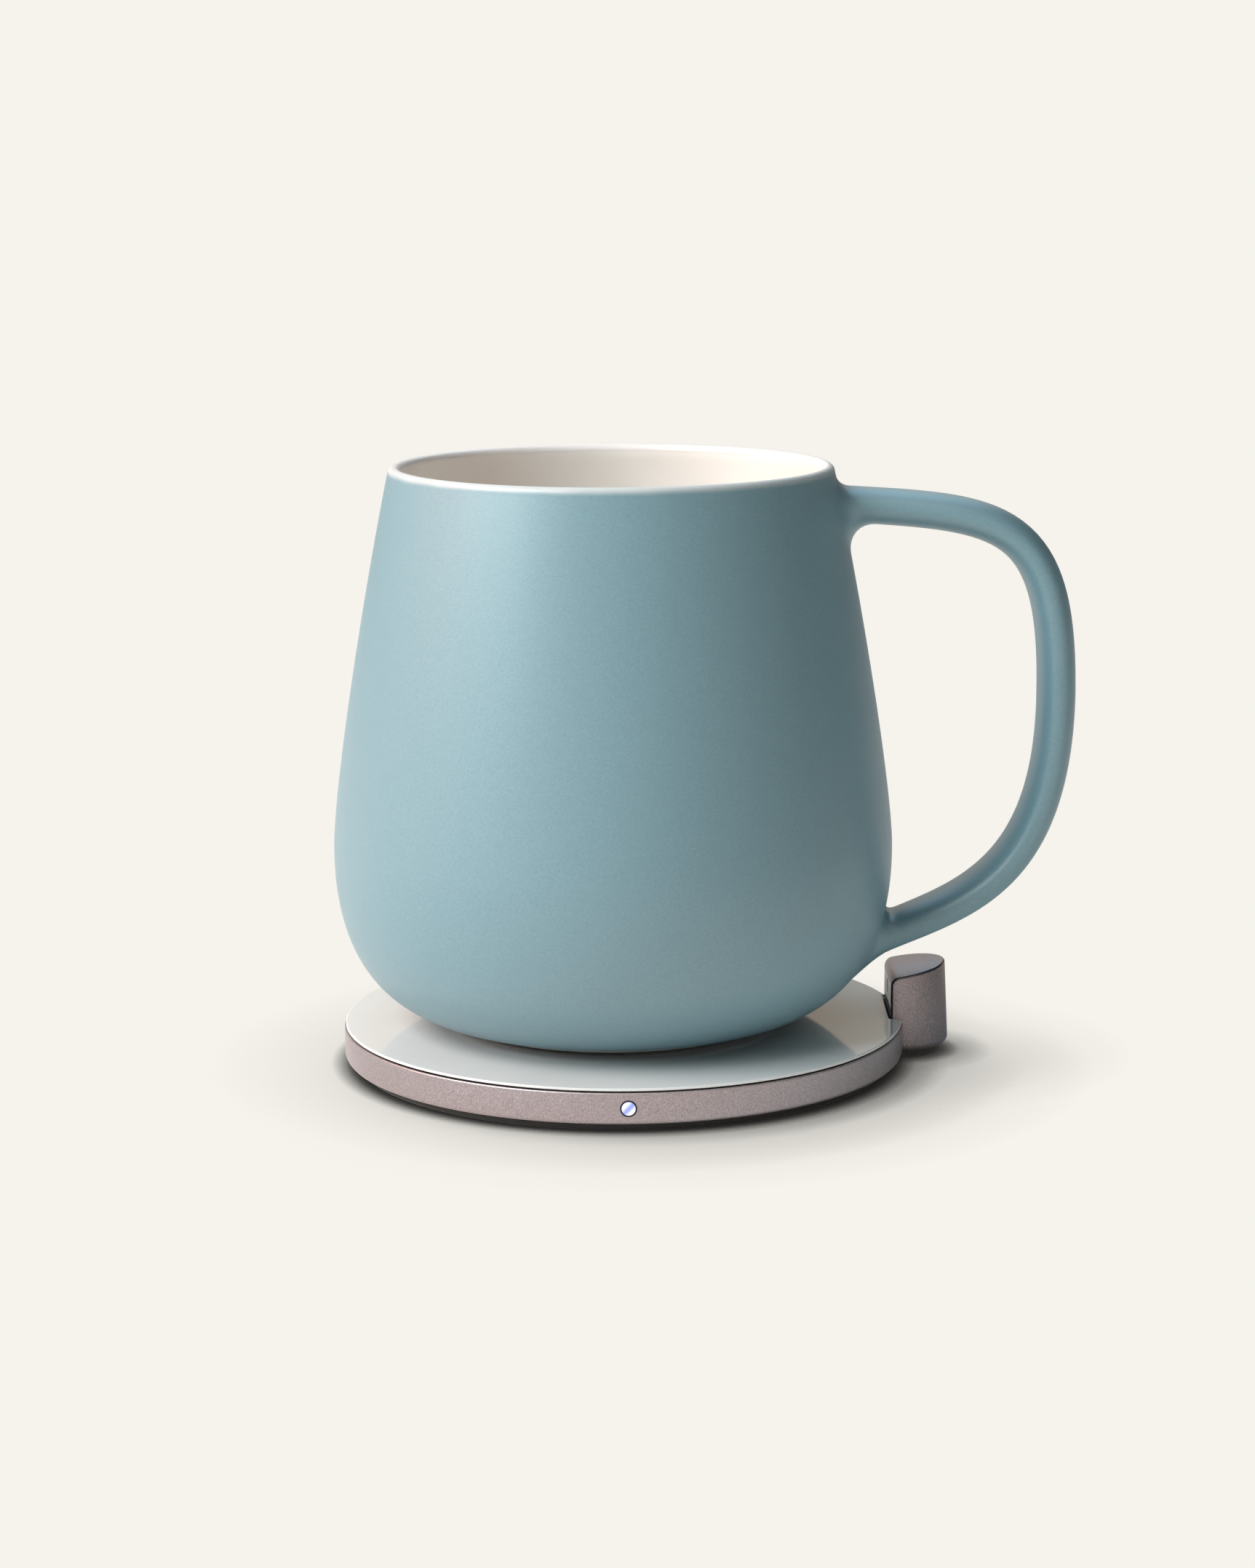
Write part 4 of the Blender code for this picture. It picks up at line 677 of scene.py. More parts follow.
# Base plate: injection moulded disc that closes the recess under the mug, held behind its gasket by
# an adhesive bead. Only its rounded rim and its face with the mould's faint rings can be seen.
BASE_PLATE_RADIUS, BASE_PLATE_THICKNESS, BASE_PLATE_ROUND = 24.7, 1.0, 0.25
BASE_RINGS, BASE_RING_WIDTH, BASE_RING_DEPTH = (9.0, 14.0, 19.0), 0.5, 0.12
EASE_RUN, EASE_STEPS, TURN_STEPS, BAR_STEPS = 1.3, 4, 160, 64


def eased(line, reaches, steps=EASE_STEPS):
    """A line with its corners rounded, and a short straight run kept on both sides of each round."""
    line = np.asarray(line, float)
    points = []
    for index, (corner, reach) in enumerate(zip(line, reaches)):
        if not reach:
            points.append(corner)
            continue
        back = line[index - 1] - corner
        ahead = line[(index + 1) % len(line)] - corner
        back, ahead = (way * reach / np.linalg.norm(way) for way in (back, ahead))
        t = np.linspace(0, 1, steps + 1)[:, None]
        points.append(corner + back * EASE_RUN)
        points.extend(corner + (1 - t) ** 2 * back + t**2 * ahead)
        points.append(corner + ahead * EASE_RUN)
    return np.array(points)


def skinned(name, loops, materials=(), body=None, capped=True, smooth=SMOOTH_ANGLE):
    """A solid skinned over loops of as many points each, capped at both ends or closed to a ring."""
    count, levels = len(loops[0]), len(loops)
    faces = []
    for level in range(levels - 1 if capped else levels):
        low, high = level * count, (level + 1) % levels * count
        for k in range(count):
            n = (k + 1) % count
            faces.append((low + k, low + n, high + n, high + k))
    if capped:
        faces.append(tuple(range(count))[::-1])
        faces.append(tuple(range((levels - 1) * count, levels * count)))
    return finished(piece(name, np.vstack(loops), faces, materials), body, smooth)


def turned(
    name, outline, materials=(), body=None, centre=(0.0, 0.0, 0.0), steps=TURN_STEPS, smooth=SMOOTH_ANGLE
):
    """A solid turned about the vertical through centre, from (radius, height) points."""
    outline = np.asarray(outline, float)
    on_axis = outline[0][0] == 0 and outline[-1][0] == 0
    angles = 2 * np.pi * np.arange(steps) / steps
    loops = [
        np.column_stack((r * np.cos(angles), r * np.sin(angles), np.full(steps, z))) + centre
        for r, z in outline
        if r > 0
    ]
    return skinned(name, loops, materials, body, on_axis, smooth)


def laid(made, matrix):
    """Turns and moves a mesh's own points, in millimetres."""
    turn = Matrix(matrix)
    turn.translation *= MM
    made.data.transform(turn)
    return made


def slab(low, high):
    """A plain block to cut with."""
    xs, ys, zs = zip(low, high)
    corners = [(x, y, z) for x in xs for y in ys for z in zs]
    sides = ((0, 1, 3, 2), (4, 6, 7, 5), (0, 4, 5, 1), (2, 3, 7, 6), (0, 2, 6, 4), (1, 5, 7, 3))
    return finished(piece("cutter", corners, sides))


def bar(radius, start, end, steps=BAR_STEPS):
    """A plain round bar between two points to cut with."""
    start, end = np.array(start, float), np.array(end, float)
    way = (end - start) / np.linalg.norm(end - start)
    side = np.cross(way, (0, 0, 1) if abs(way[2]) < 0.9 else (1, 0, 0))
    side /= np.linalg.norm(side)
    angles = (2 * np.pi * np.arange(steps) / steps)[:, None]
    ring = radius * (np.cos(angles) * side + np.sin(angles) * np.cross(way, side))
    return skinned("cutter", [ring + start, ring + end])


def upright(radius, place, low, high, steps):
    """A plain round bar that stands over a place on the table."""
    return bar(radius, (*place, low), (*place, high), steps)


def combined(made, operation, *tools):
    """Cuts, joins or crosses a piece with tools, which are removed."""
    for tool in tools:
        modifier = made.modifiers.new("boolean", "BOOLEAN")
        modifier.operation, modifier.solver, modifier.object = operation, "EXACT", tool
    bpy.context.view_layer.update()
    result = made.evaluated_get(bpy.context.evaluated_depsgraph_get())
    mesh = bpy.data.meshes.new_from_object(result)
    made.modifiers.clear()
    made.data = mesh
    for tool in tools:
        bpy.data.objects.remove(tool)
    return made


def grained(name, colours, roughness, grain, relief=0.0, between=NOISE_RANGE, **sockets):
    """A Principled material that varies with one noise of a size, detail and stretch. Its colours are
    the plain, the darkest and the lightest one, and so is its roughness where it isn't a number."""
    rough = roughness if isinstance(roughness, tuple) else (roughness,)
    made, tree, shader = principled(name, colours[0], rough[0], **sockets)
    grains = noise(tree, *grain)
    tinted(tree, shader, ranged(tree, grains, *between), *colours[1:])
    if rough[1:]:
        tree.links.new(ranged(tree, grains, *between, *rough[1:]), shader.inputs["Roughness"])
    if relief:
        bumped(tree, shader, grains, relief)
    return made


# Glass filled polymer from a spark eroded mould: pale and even, with a fine dull grain.
base_polymer = grained(
    "spark_textured_polymer", ("D8D8D6", "CFCFCD", "DEDEDC"), 0.55, (0.25, 3.0), 0.012
)

outline = [(0, 0)]
for radius in BASE_RINGS:
    outline += [
        (radius, 0),
        (radius + BASE_RING_WIDTH / 4, BASE_RING_DEPTH),
        (radius + BASE_RING_WIDTH * 3 / 4, BASE_RING_DEPTH),
        (radius + BASE_RING_WIDTH, 0),
    ]
flat_from = len(outline)
outline += [
    (BASE_PLATE_RADIUS, 0), (BASE_PLATE_RADIUS, BASE_PLATE_THICKNESS), (0, BASE_PLATE_THICKNESS)
]
outline = eased(outline, [0] * flat_from + [BASE_PLATE_ROUND] * 2 + [0])
base_plate = turned("moulded_base_plate", outline, (base_polymer,), "mug", (MUG_X, 0, MUG_BASE))
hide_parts("base_plate")


# Ring: turned and milled from aluminium tube, bead blasted and anodised in a warm grey. Its rim has a
# fine chamfer and an undercut lip for the plate's seal, and a flange inside takes the cover's screws.
# Its outline is the round pad less the post's D-shaped foot, with a small round corner beside it.
PAD_RADIUS, PAD_CORNER, PAD_INNER_CORNER = 45.2, 0.6, 0.35
PAD_STEPS, CORNER_ROUND_STEPS, RIM_STEPS = 300, 6, 5
POST_X, POST_Y = 44.85, 4.2
POST_RADIUS, POST_DRAFT, POST_FLAT, POST_GAP = 8.13, math.radians(2.5), -1.7, 0.3
RING_BOTTOM, RING_TOP, RING_WALL = 1.3, 6.3, 3.2
RING_FOOT_ROUND, RING_FOOT_WIDENING = 0.8, 0.2
RING_RIM_ROUND, RING_RIM_RUN, RING_RIM_WIDENING, RING_RIM_FLAT = 0.2, 1.6, 0.1, 0.12
UNDERCUT, UNDERCUT_WIDENING, SHELF_LEVEL = 1.6, 0.2, 5.65
FLANGE_TOP, FLANGE_BOTTOM, FLANGE_WIDTH = 5.0, 4.1, 4.0
LED_X, LED_LEVEL, LED_HOLE, LED_HOLE_RUN = 0.65, 3.9, 1.31, (-49.0, -36.0)
USB_LEVEL, USB_WIDTH, USB_HEIGHT, USB_GAP, USB_HOLE_RUN = 3.93, 8.94, 3.16, 0.3, (34.0, 49.0)
CABLE_LOW, CABLE_HIGH = (40.0, 1.9, 2.9), (46.0, 6.5, 3.9)
SCREW_CIRCLE, SCREW_RADIUS, SCREW_ROOM, SCREW_HOLE_TOP = 39.6, 0.55, 0.3, 5.3
SCREW_HOLE_STEPS, SLOT_STEPS = 24, 12
SCREW_ANGLES = [math.pi / 2 * (index + 0.5) for index in range(4)]
COVER_SCREWS = [(SCREW_CIRCLE * math.cos(a), SCREW_CIRCLE * math.sin(a)) for a in SCREW_ANGLES]
RIM_ANGLES = np.radians(np.linspace(0, 90, RIM_STEPS + 1))


def post_radius(level):
    """The post's outer radius at a level above the table."""
    return POST_RADIUS - math.tan(POST_DRAFT) * (level - RING_BOTTOM)


def pad_loop(inset, level, notch=POST_GAP):
    """The pad's outline at a level, moved in by inset and kept clear of the post by notch."""
    radius, reach = PAD_RADIUS - inset, post_radius(level) + notch
    away, bearing = math.hypot(POST_X, POST_Y), math.atan2(POST_Y, POST_X)
    half = math.acos((radius**2 - reach**2 + away**2) / (2 * away * radius))
    flat = POST_X + POST_FLAT - notch
    rise = math.sqrt(reach**2 - (POST_X - flat) ** 2)
    first, last = bearing + half, bearing - half + 2 * math.pi
    room = 2 * PAD_CORNER / radius
    angles = np.linspace(first + room, last - room, PAD_STEPS)
    line = [(radius * math.cos(a), radius * math.sin(a)) for a in (*angles, last, first)]
    line[-1:-1] = [(flat, POST_Y - rise), (flat, POST_Y + rise)]
    reaches = [0] * PAD_STEPS + [PAD_CORNER, PAD_INNER_CORNER, PAD_INNER_CORNER, PAD_CORNER]
    return np.insert(eased(line, reaches, CORNER_ROUND_STEPS), 2, level, axis=1)


def loops_of(profile):
    """Pad outlines from (inset, level, notch) triples."""
    return [pad_loop(inset, level, notch) for inset, level, notch in profile]


def rim_round(inset, top, size, widening):
    """The triples of a rim's round, whose gap to the post widens with it."""
    return [
        (
            inset + size * (1 - math.cos(a)),
            top - size * (1 - math.sin(a)),
            POST_GAP + widening * (1 - math.cos(a)),
        )
        for a in RIM_ANGLES
    ]


def inward(loop, radius):
    """The points of a loop drawn in to a circle about the pad's axis."""
    reach = np.hypot(loop[:, 0], loop[:, 1])[:, None]
    return np.column_stack((loop[:, :2] / reach * radius, loop[:, 2]))


def slot_loop(width, height, y):
    """The inlet's outline, a slot with round ends, at a depth y in the pad's back."""
    ends = np.radians(np.linspace(-90, 90, SLOT_STEPS + 1))
    half = width / 2 - height / 2
    side = np.column_stack((half + height / 2 * np.cos(ends), height / 2 * np.sin(ends)))
    return np.insert(np.vstack((side, -side)), 1, y, axis=1) + (0, 0, USB_LEVEL)


def blasted(name, dark, light):
    """Blasted and anodised metal whose colour runs from dark to light from dent to dent."""
    shine = (0.4, 0.34, 0.5)
    return grained(name, (light, dark, light), shine, (0.15, 2.0), 0.02, (0.32, 0.68), metallic=1.0)


# Bead blasted anodised aluminium: a dull metal whose dents catch the light one by one.
ring_metal = blasted("bead_blasted_anodised_aluminium", "8A8285", "BDB2B5")

outer = [
    (
        RING_FOOT_ROUND * (1 - math.sin(a)),
        RING_BOTTOM + RING_FOOT_ROUND * (1 - math.cos(a)),
        POST_GAP + RING_FOOT_WIDENING * (1 - math.sin(a)),
    )
    for a in RIM_ANGLES
]
outer.append((0.0, RING_TOP - RING_RIM_RUN * RING_RIM_ROUND, POST_GAP))
outer += rim_round(0.0, RING_TOP, RING_RIM_ROUND, RING_RIM_WIDENING)
outer.append((RING_RIM_ROUND + RING_RIM_FLAT, RING_TOP, POST_GAP + RING_RIM_FLAT))
outer.append((UNDERCUT, SHELF_LEVEL, POST_GAP + UNDERCUT_WIDENING))
ring_loops = loops_of(outer)
inner_radius = PAD_RADIUS - RING_WALL
for radius, level in (
    (inner_radius, SHELF_LEVEL),
    (inner_radius, FLANGE_TOP),
    (inner_radius - FLANGE_WIDTH, FLANGE_TOP),
    (inner_radius - FLANGE_WIDTH, FLANGE_BOTTOM),
    (inner_radius, FLANGE_BOTTOM),
    (inner_radius, RING_BOTTOM),
):
    ring_loops.append(inward(pad_loop(0.0, level), radius))
ring = skinned("blasted_ring", ring_loops, (ring_metal,), capped=False)
mouth = [slot_loop(USB_WIDTH + 2 * USB_GAP, USB_HEIGHT + 2 * USB_GAP, y) for y in USB_HOLE_RUN]
tools = [bar(LED_HOLE, *((LED_X, y, LED_LEVEL) for y in LED_HOLE_RUN))]
tools += [skinned("cutter", mouth), slab(CABLE_LOW, CABLE_HIGH)]
for place in COVER_SCREWS:
    tools.append(upright(SCREW_RADIUS + SCREW_ROOM, place, 0, SCREW_HOLE_TOP, SCREW_HOLE_STEPS))
combined(ring, "DIFFERENCE", *tools)
finished(ring, "pad")
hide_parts("ring_housing")

# Top plate: moulded white cover with a hard gloss coat, pressed onto its foam seal. Its edge stands a
# little proud of the ring over a dark shadow gap.
PLATE_BOTTOM, PLATE_TOP, PLATE_OVER_RING = 5.95, 6.95, 0.3
PLATE_INSET, PLATE_ROUND, PLATE_RUN, PLATE_WIDENING = 0.2, 0.2, 1.4, 0.15
PLATE_FLATS = ((0.1, 0.2), (0.3, 0.3))

# Gloss coated white polymer: clear reflections over a bright white ground.
plate_white = grained(
    "gloss_coated_white_polymer", ("DADBDA", "D8D9D8", "DDDEDD"), 0.07, (18.0, 1.0), 0.01, IOR=1.5
)

profile = [
    (UNDERCUT, PLATE_BOTTOM, POST_GAP + UNDERCUT_WIDENING),
    (PLATE_INSET, RING_TOP + PLATE_OVER_RING, POST_GAP),
    (PLATE_INSET, PLATE_TOP - PLATE_RUN * PLATE_ROUND, POST_GAP),
    *rim_round(PLATE_INSET, PLATE_TOP, PLATE_ROUND, PLATE_WIDENING),
]
for past, widening in PLATE_FLATS:
    profile.append((PLATE_INSET + PLATE_ROUND + past, PLATE_TOP, POST_GAP + widening))
plate = skinned("gloss_top_plate", loops_of(profile), (plate_white,), "pad")
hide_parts("top_plate")

# Foot: a moulded silicone disc glued under the pad. Low ribs on its face grip the table, and its
# edge shows as the dark line below the ring.
SILICONE_RADIUS, SILICONE_HEIGHT, SILICONE_EDGE = 43.2, 1.0, 0.3
RIB_DEPTH, RIB_STEP, RIB_COUNT, RIB_FOOT, RIB_CREST = 0.15, 2.4, 6, 0.5, 0.2
LAST_RIB_FOOT, LAST_RIB_CREST = 1.2, 0.9

# Silicone rubber: near black and dull, with a soft sheen at grazing angles.
silicone = grained(
    "dark_silicone_rubber",
    ("1D1B1A", "1A1817", "252220"),
    0.7,
    (0.5, 4.0),
    0.01,
    (0.4, 0.7),
    Sheen_Weight=0.2,
)

outline = [(0, RIB_DEPTH)]
for rib in range(RIB_COUNT, 0, -1):
    radius = SILICONE_RADIUS - rib * RIB_STEP
    outline += [(radius - RIB_FOOT, RIB_DEPTH), (radius - RIB_CREST, 0)]
    outline += [(radius + RIB_CREST, 0), (radius + RIB_FOOT, RIB_DEPTH)]
outline += [(SILICONE_RADIUS - LAST_RIB_FOOT, RIB_DEPTH), (SILICONE_RADIUS - LAST_RIB_CREST, 0)]
reaches = [0] * len(outline) + [SILICONE_EDGE, SILICONE_EDGE / 3, 0]
outline += [(SILICONE_RADIUS, 0), (SILICONE_RADIUS, SILICONE_HEIGHT), (0, SILICONE_HEIGHT)]
foot_pad = turned("ribbed_silicone_foot", eased(outline, reaches), (silicone,), "pad")
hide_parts("silicone_foot")

# Indicator: a milky light pipe in a dark sleeve, pressed through the ring from inside in front of the
# status light. Its low dome glows white, with a blue band where the die's light runs through it.
LED_LENS, LED_FRONT, LED_BACK, LED_DOME = 1.06, -45.2, -38.6, 0.3
SLEEVE_RADIUS, SLEEVE_DEPTH, SLEEVE_FROM = 1.27, 0.12, 0.99
LED_BAND, LED_BAND_SOFTNESS, LED_POWER = 0.34, 0.6, 0.9
DOME_STEPS, DIAGONAL = 12, 0.7071

# Milky polycarbonate, lit from behind: it glows by itself, and its skin still shines.
milky, tree, shader = principled("milky_polycarbonate", "4A55A0", 0.25)
band_middle = (LED_LEVEL - LED_X) * DIAGONAL * MM
off_band = maths(tree, "SUBTRACT", along(tree, (-DIAGONAL, 0.0, DIAGONAL)), band_middle)
whiter = softly(tree, maths(tree, "ABSOLUTE", off_band), LED_BAND, LED_BAND_SOFTNESS)
tree.links.new(mixed(tree, whiter, "98A8F7", "FDFDFF"), shader.inputs["Emission Color"])
shader.inputs["Emission Strength"].default_value = LED_POWER

# Smoked sleeve: a navy polymer that stops the pipe's light from spilling onto the metal. Its dark
# navy is painted shade for the gap round the dome.
gap_shade_sleeve = grained("smoked_navy_polymer_as_gap_shade", ("10142E", "0C1026", "151A38"), 0.35, (0.1, 2.0))

dome = arc((0.0, 0.0), (LED_LENS, LED_DOME), 90, 0, DOME_STEPS)
length = LED_FRONT - LED_BACK
outline = np.vstack(
    (
        dome,
        ((LED_LENS, -SLEEVE_DEPTH), (SLEEVE_RADIUS, -SLEEVE_DEPTH)),
        ((SLEEVE_RADIUS, length), (0.0, length)),
    )
)
light = turned("milky_light_pipe", outline, (milky, gap_shade_sleeve), steps=BAR_STEPS)
# Faces outside the dome take the sleeve's navy, painted shade in the gap round it.
for face in light.data.polygons:
    if Vector(face.center[:2]).length > LED_LENS * MM * SLEEVE_FROM:
        face.material_index = 1
laid(light, [[1, 0, 0, LED_X], [0, 0, -1, LED_FRONT], [0, 1, 0, LED_LEVEL], [0, 0, 0, 1]])
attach(light, "pad")
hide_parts("led_lens")

# Inlet: a drawn and nickel plated steel shell in the ring's back, with a moulded tongue that carries
# the contacts. Its mouth lies just inside the ring's face.
USB_MOUTH, USB_DEPTH, USB_WALL, USB_REAR = 44.9, 7.3, 0.3, 0.8
LIP_ROUND_STEPS, TONGUE_STEPS = 8, 2
TONGUE_WIDTH, TONGUE_THICKNESS, TONGUE_LENGTH, TONGUE_GAP = 6.7, 0.7, 4.6, 0.3
TONGUE_ROUND, TONGUE_NARROWING, TONGUE_NOSE = 0.12, 0.06, ((0.35, 1.0), (0.1, 0.8), (0.0, 0.55))
CONTACTS, CONTACT_WIDTH, CONTACT_PITCH, CONTACT_START = 12, 0.26, 0.5, 0.2
CONTACT_LENGTH, CONTACT_HEIGHT = 3.4, 0.03

# Nickel plated steel: bright and slightly warm, drawn along its length.
nickel = grained(
    "nickel_plated_steel",
    ("B9B6B1", "A9A6A1", "C6C3BE"),
    (0.24, 0.18, 0.3),
    (0.15, 3.0, (1.0, 0.08, 1.0)),
    metallic=1.0,
)

# Black moulding: glass filled polymer with the dull grain of its mould.
moulding = grained(
    "black_glass_filled_polymer", ("202022", "1B1B1D", "28282A"), 0.5, (0.2, 3.0), 0.01, (0.35, 0.7)
)

# Gold flashed contact springs: small bright strips worn dull along the middle.
gold = grained(
    "gold_flashed_contacts",
    ("C9A24F", "C9A24F", "DCBC74"),
    0.2,
    (0.1, 2.0),
    between=(0.4, 0.7),
    metallic=1.0,
)

rear = USB_MOUTH - USB_DEPTH
lip_round = USB_WALL / 2
shell_loops = [slot_loop(USB_WIDTH, USB_HEIGHT, rear)]
for angle in np.radians(np.linspace(0, 180, LIP_ROUND_STEPS + 1)):
    inset = 2 * lip_round * (1 - math.cos(angle))
    y = USB_MOUTH - lip_round * (1 - math.sin(angle))
    shell_loops.append(slot_loop(USB_WIDTH - inset, USB_HEIGHT - inset, y))
shell_loops.append(slot_loop(USB_WIDTH - 2 * USB_WALL, USB_HEIGHT - 2 * USB_WALL, rear + USB_REAR))
shell = skinned("drawn_inlet_shell", shell_loops, (nickel,), "pad")
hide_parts("usb_socket")

half_width, half_height = TONGUE_WIDTH / 2, TONGUE_THICKNESS / 2
corners = np.array([(1, -1), (1, 1), (-1, 1), (-1, -1)]) * (half_width, half_height)
section = eased(corners, [TONGUE_ROUND] * 4, TONGUE_STEPS)
tongue_start = rear + USB_REAR + TONGUE_GAP
tongue_loops = []
for before_tip, share in ((TONGUE_LENGTH, 1.0), *TONGUE_NOSE):
    scaled = section * (1 - TONGUE_NARROWING * (1 - share), share)
    y = tongue_start + TONGUE_LENGTH - before_tip
    tongue_loops.append(np.insert(scaled, 1, y, axis=1) + (0, 0, USB_LEVEL))
tongue = skinned("moulded_tongue", tongue_loops, (moulding, gold))
strips = bmesh.new()
strips.from_mesh(tongue.data)
for face in (1, -1):
    for index in range(CONTACTS):
        made = bmesh.ops.create_cube(strips, size=1.0)["verts"]
        size = (CONTACT_WIDTH, CONTACT_LENGTH, 2 * CONTACT_HEIGHT)
        middle = (
            (index - (CONTACTS - 1) / 2) * CONTACT_PITCH,
            tongue_start + CONTACT_START + CONTACT_LENGTH / 2,
            USB_LEVEL + face * half_height,
        )
        bmesh.ops.scale(strips, vec=[value * MM for value in size], verts=made)
        bmesh.ops.translate(strips, vec=[value * MM for value in middle], verts=made)
        for vert in made:
            for side in vert.link_faces:
                side.material_index = 1
strips.to_mesh(tongue.data)
strips.free()
tongue.data.set_sharp_from_angle(angle=SMOOTH_ANGLE)
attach(tongue, "pad")
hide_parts("usb_tongue")

# Post: cast in aluminium and milled, then blasted and anodised with the ring. Its sloping top rounds
# down into the flat that faces the mug, and a thin chamfer, cut after blasting, edges top and flat.
POST_TOP, POST_SLOPE, POST_TOP_ROUND, POST_BOTTOM_ROUND = 13.7, math.radians(10.4), 1.5, 1.2
POST_CHAMFER, POST_CHAMFER_FROM, POST_SMOOTH_ANGLE = 0.36, math.radians(35), math.radians(32)
POST_BLANK_TOP, POST_BLANK_REACH = 18.0, 12.0
POST_STEPS, POST_ROUND_STEPS, POST_TOP_STEPS, CHAMFER_STEPS, WINDOW_STEPS = 144, 8, 12, 3, 3
CORE_STEPS, BOSS_STEPS, PILOT_STEPS = 96, 48, 32
POST_WALL, POST_CAVITY_X, POST_CAVITY_BOTTOM = 1.3, 0.5, -1.0
WINDOW_DEPTH, WINDOW_LEVELS, WINDOW_SEAM = 1.0, (7.25, 12.14), 0.12
WINDOW_EDGE, WINDOW_ROUND, WINDOW_ROOM = 0.45, 0.2, 0.3
LENS_LEVEL, LENS_RADIUS, SENSOR_ROOM = 10.54, 1.1, 1.6
POST_SCREW, SCREW_TOP = (POST_X + 5.3, POST_Y), 7.5
BOSS_RADIUS, BOSS_BOTTOM = 1.5, 2.4
CUT_FRONT, CUT_BACK, CUT_BELOW, CUT_PAST, CUT_OVER = -20, 30, -2, 20, 2

# Blasted casting: the ring's bead blasted anodised metal, painted darker on the post as painted shade.
post_metal_painted_darker = blasted("bead_blasted_anodised_casting_painted_darker", "6E6668", "A89C9E")

# Diamond cut chamfer: the same anodised metal, mirror smooth, with its dark colour painted shade.
polished, tree, shader = principled("cut_anodised_edge_painted_dark", "5A5254", 0.16, metallic=1.0)
cutting = noise(tree, 0.08, 2.0, (1.0, 1.0, 6.0))
tree.links.new(ranged(tree, cutting, *NOISE_RANGE, 0.12, 0.22), shader.inputs["Roughness"])

outline = [(0, RING_BOTTOM)]
for angle in np.radians(np.linspace(0, 90, POST_ROUND_STEPS + 1)):
    level = RING_BOTTOM + POST_BOTTOM_ROUND * (1 - math.cos(angle))
    outline.append((post_radius(level) - POST_BOTTOM_ROUND * (1 - math.sin(angle)), level))
outline += [(post_radius(POST_BLANK_TOP), POST_BLANK_TOP), (0, POST_BLANK_TOP)]
centre = (POST_X, POST_Y, 0.0)
post = turned("blasted_post", outline, (post_metal_painted_darker, polished), None, centre, POST_STEPS)
round_x = POST_FLAT + POST_TOP_ROUND
round_level = POST_TOP + math.tan(POST_SLOPE) * round_x - POST_TOP_ROUND / math.cos(POST_SLOPE)
side_view = [(POST_FLAT, CUT_BELOW)]
for angle in np.linspace(math.pi, math.pi / 2 + POST_SLOPE, POST_TOP_STEPS + 1):
    side_view.append(
        (round_x + POST_TOP_ROUND * math.cos(angle), round_level + POST_TOP_ROUND * math.sin(angle))
    )
side_view.append((POST_BLANK_REACH, POST_TOP + math.tan(POST_SLOPE) * POST_BLANK_REACH))
side_view.append((POST_BLANK_REACH, CUT_BELOW))
walls = [
    np.insert(np.array(side_view), 1, y, axis=1) + centre for y in (-POST_BLANK_REACH, POST_BLANK_REACH)
]
combined(post, "INTERSECT", skinned("cutter", walls))
bm = bmesh.new()
bm.from_mesh(post.data)
bmesh.ops.remove_doubles(bm, verts=bm.verts, dist=WELD * MM)
edges = []
for edge in bm.edges:
    if not edge.is_manifold or edge.calc_face_angle() < POST_CHAMFER_FROM:
        continue
    middle = (edge.verts[0].co.z + edge.verts[1].co.z) / 2
    if middle > (RING_BOTTOM + 2 * POST_BOTTOM_ROUND) * MM:
        edges.append(edge)
bmesh.ops.bevel(
    bm,
    geom=edges,
    offset=POST_CHAMFER * MM,
    offset_type="OFFSET",
    segments=CHAMFER_STEPS,
    profile=0.5,
    affect="EDGES",
    material=1,
    clamp_overlap=False,
)
bm.to_mesh(post.data)
bm.free()


def window_loop(inset, x):
    """The window's outline on the post's flat, moved in by inset, at a depth x."""
    levels = WINDOW_LEVELS[0] + inset, WINDOW_LEVELS[1] - inset
    low, high = (
        (math.sqrt(post_radius(level) ** 2 - POST_FLAT**2) - WINDOW_EDGE - inset, level)
        for level in levels
    )
    corners = [(-low[0], low[1]), low, high, (-high[0], high[1])]
    return np.insert(eased(corners, [WINDOW_ROUND] * 4, WINDOW_STEPS), 0, x, axis=1) + (POST_X, POST_Y, 0)


back_x = POST_FLAT + WINDOW_DEPTH
seat_ends = (POST_FLAT - CUT_OVER, back_x + WINDOW_ROOM)
seat = skinned("cutter", [window_loop(-WINDOW_SEAM, x) for x in seat_ends])
core_outline = [
    (0, POST_CAVITY_BOTTOM),
    (post_radius(POST_CAVITY_BOTTOM) - POST_WALL, POST_CAVITY_BOTTOM),
    (post_radius(round_level) - POST_WALL, round_level),
    (0, round_level),
]
core = turned("cutter", core_outline, centre=centre, steps=CORE_STEPS)
half_room = slab(
    (POST_X + POST_CAVITY_X, CUT_FRONT, CUT_BELOW), (POST_X + CUT_PAST, CUT_BACK, CUT_PAST)
)
combined(core, "INTERSECT", half_room)
boss = upright(BOSS_RADIUS, POST_SCREW, BOSS_BOTTOM, CUT_PAST, BOSS_STEPS)
combined(core, "DIFFERENCE", boss)
port = slab(
    (POST_X + back_x, POST_Y - SENSOR_ROOM, LENS_LEVEL - SENSOR_ROOM),
    (POST_X + POST_CAVITY_X + CUT_OVER, POST_Y + SENSOR_ROOM, LENS_LEVEL + SENSOR_ROOM),
)
pilot_radius, pilot_top = SCREW_RADIUS + SCREW_ROOM, SCREW_TOP + SCREW_ROOM
pilot = upright(pilot_radius, POST_SCREW, CUT_BELOW, pilot_top, PILOT_STEPS)
combined(post, "DIFFERENCE", seat, core, port, pilot, slab(CABLE_LOW, CABLE_HIGH))
finished(post, "pad", POST_SMOOTH_ANGLE)
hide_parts("post_housing")

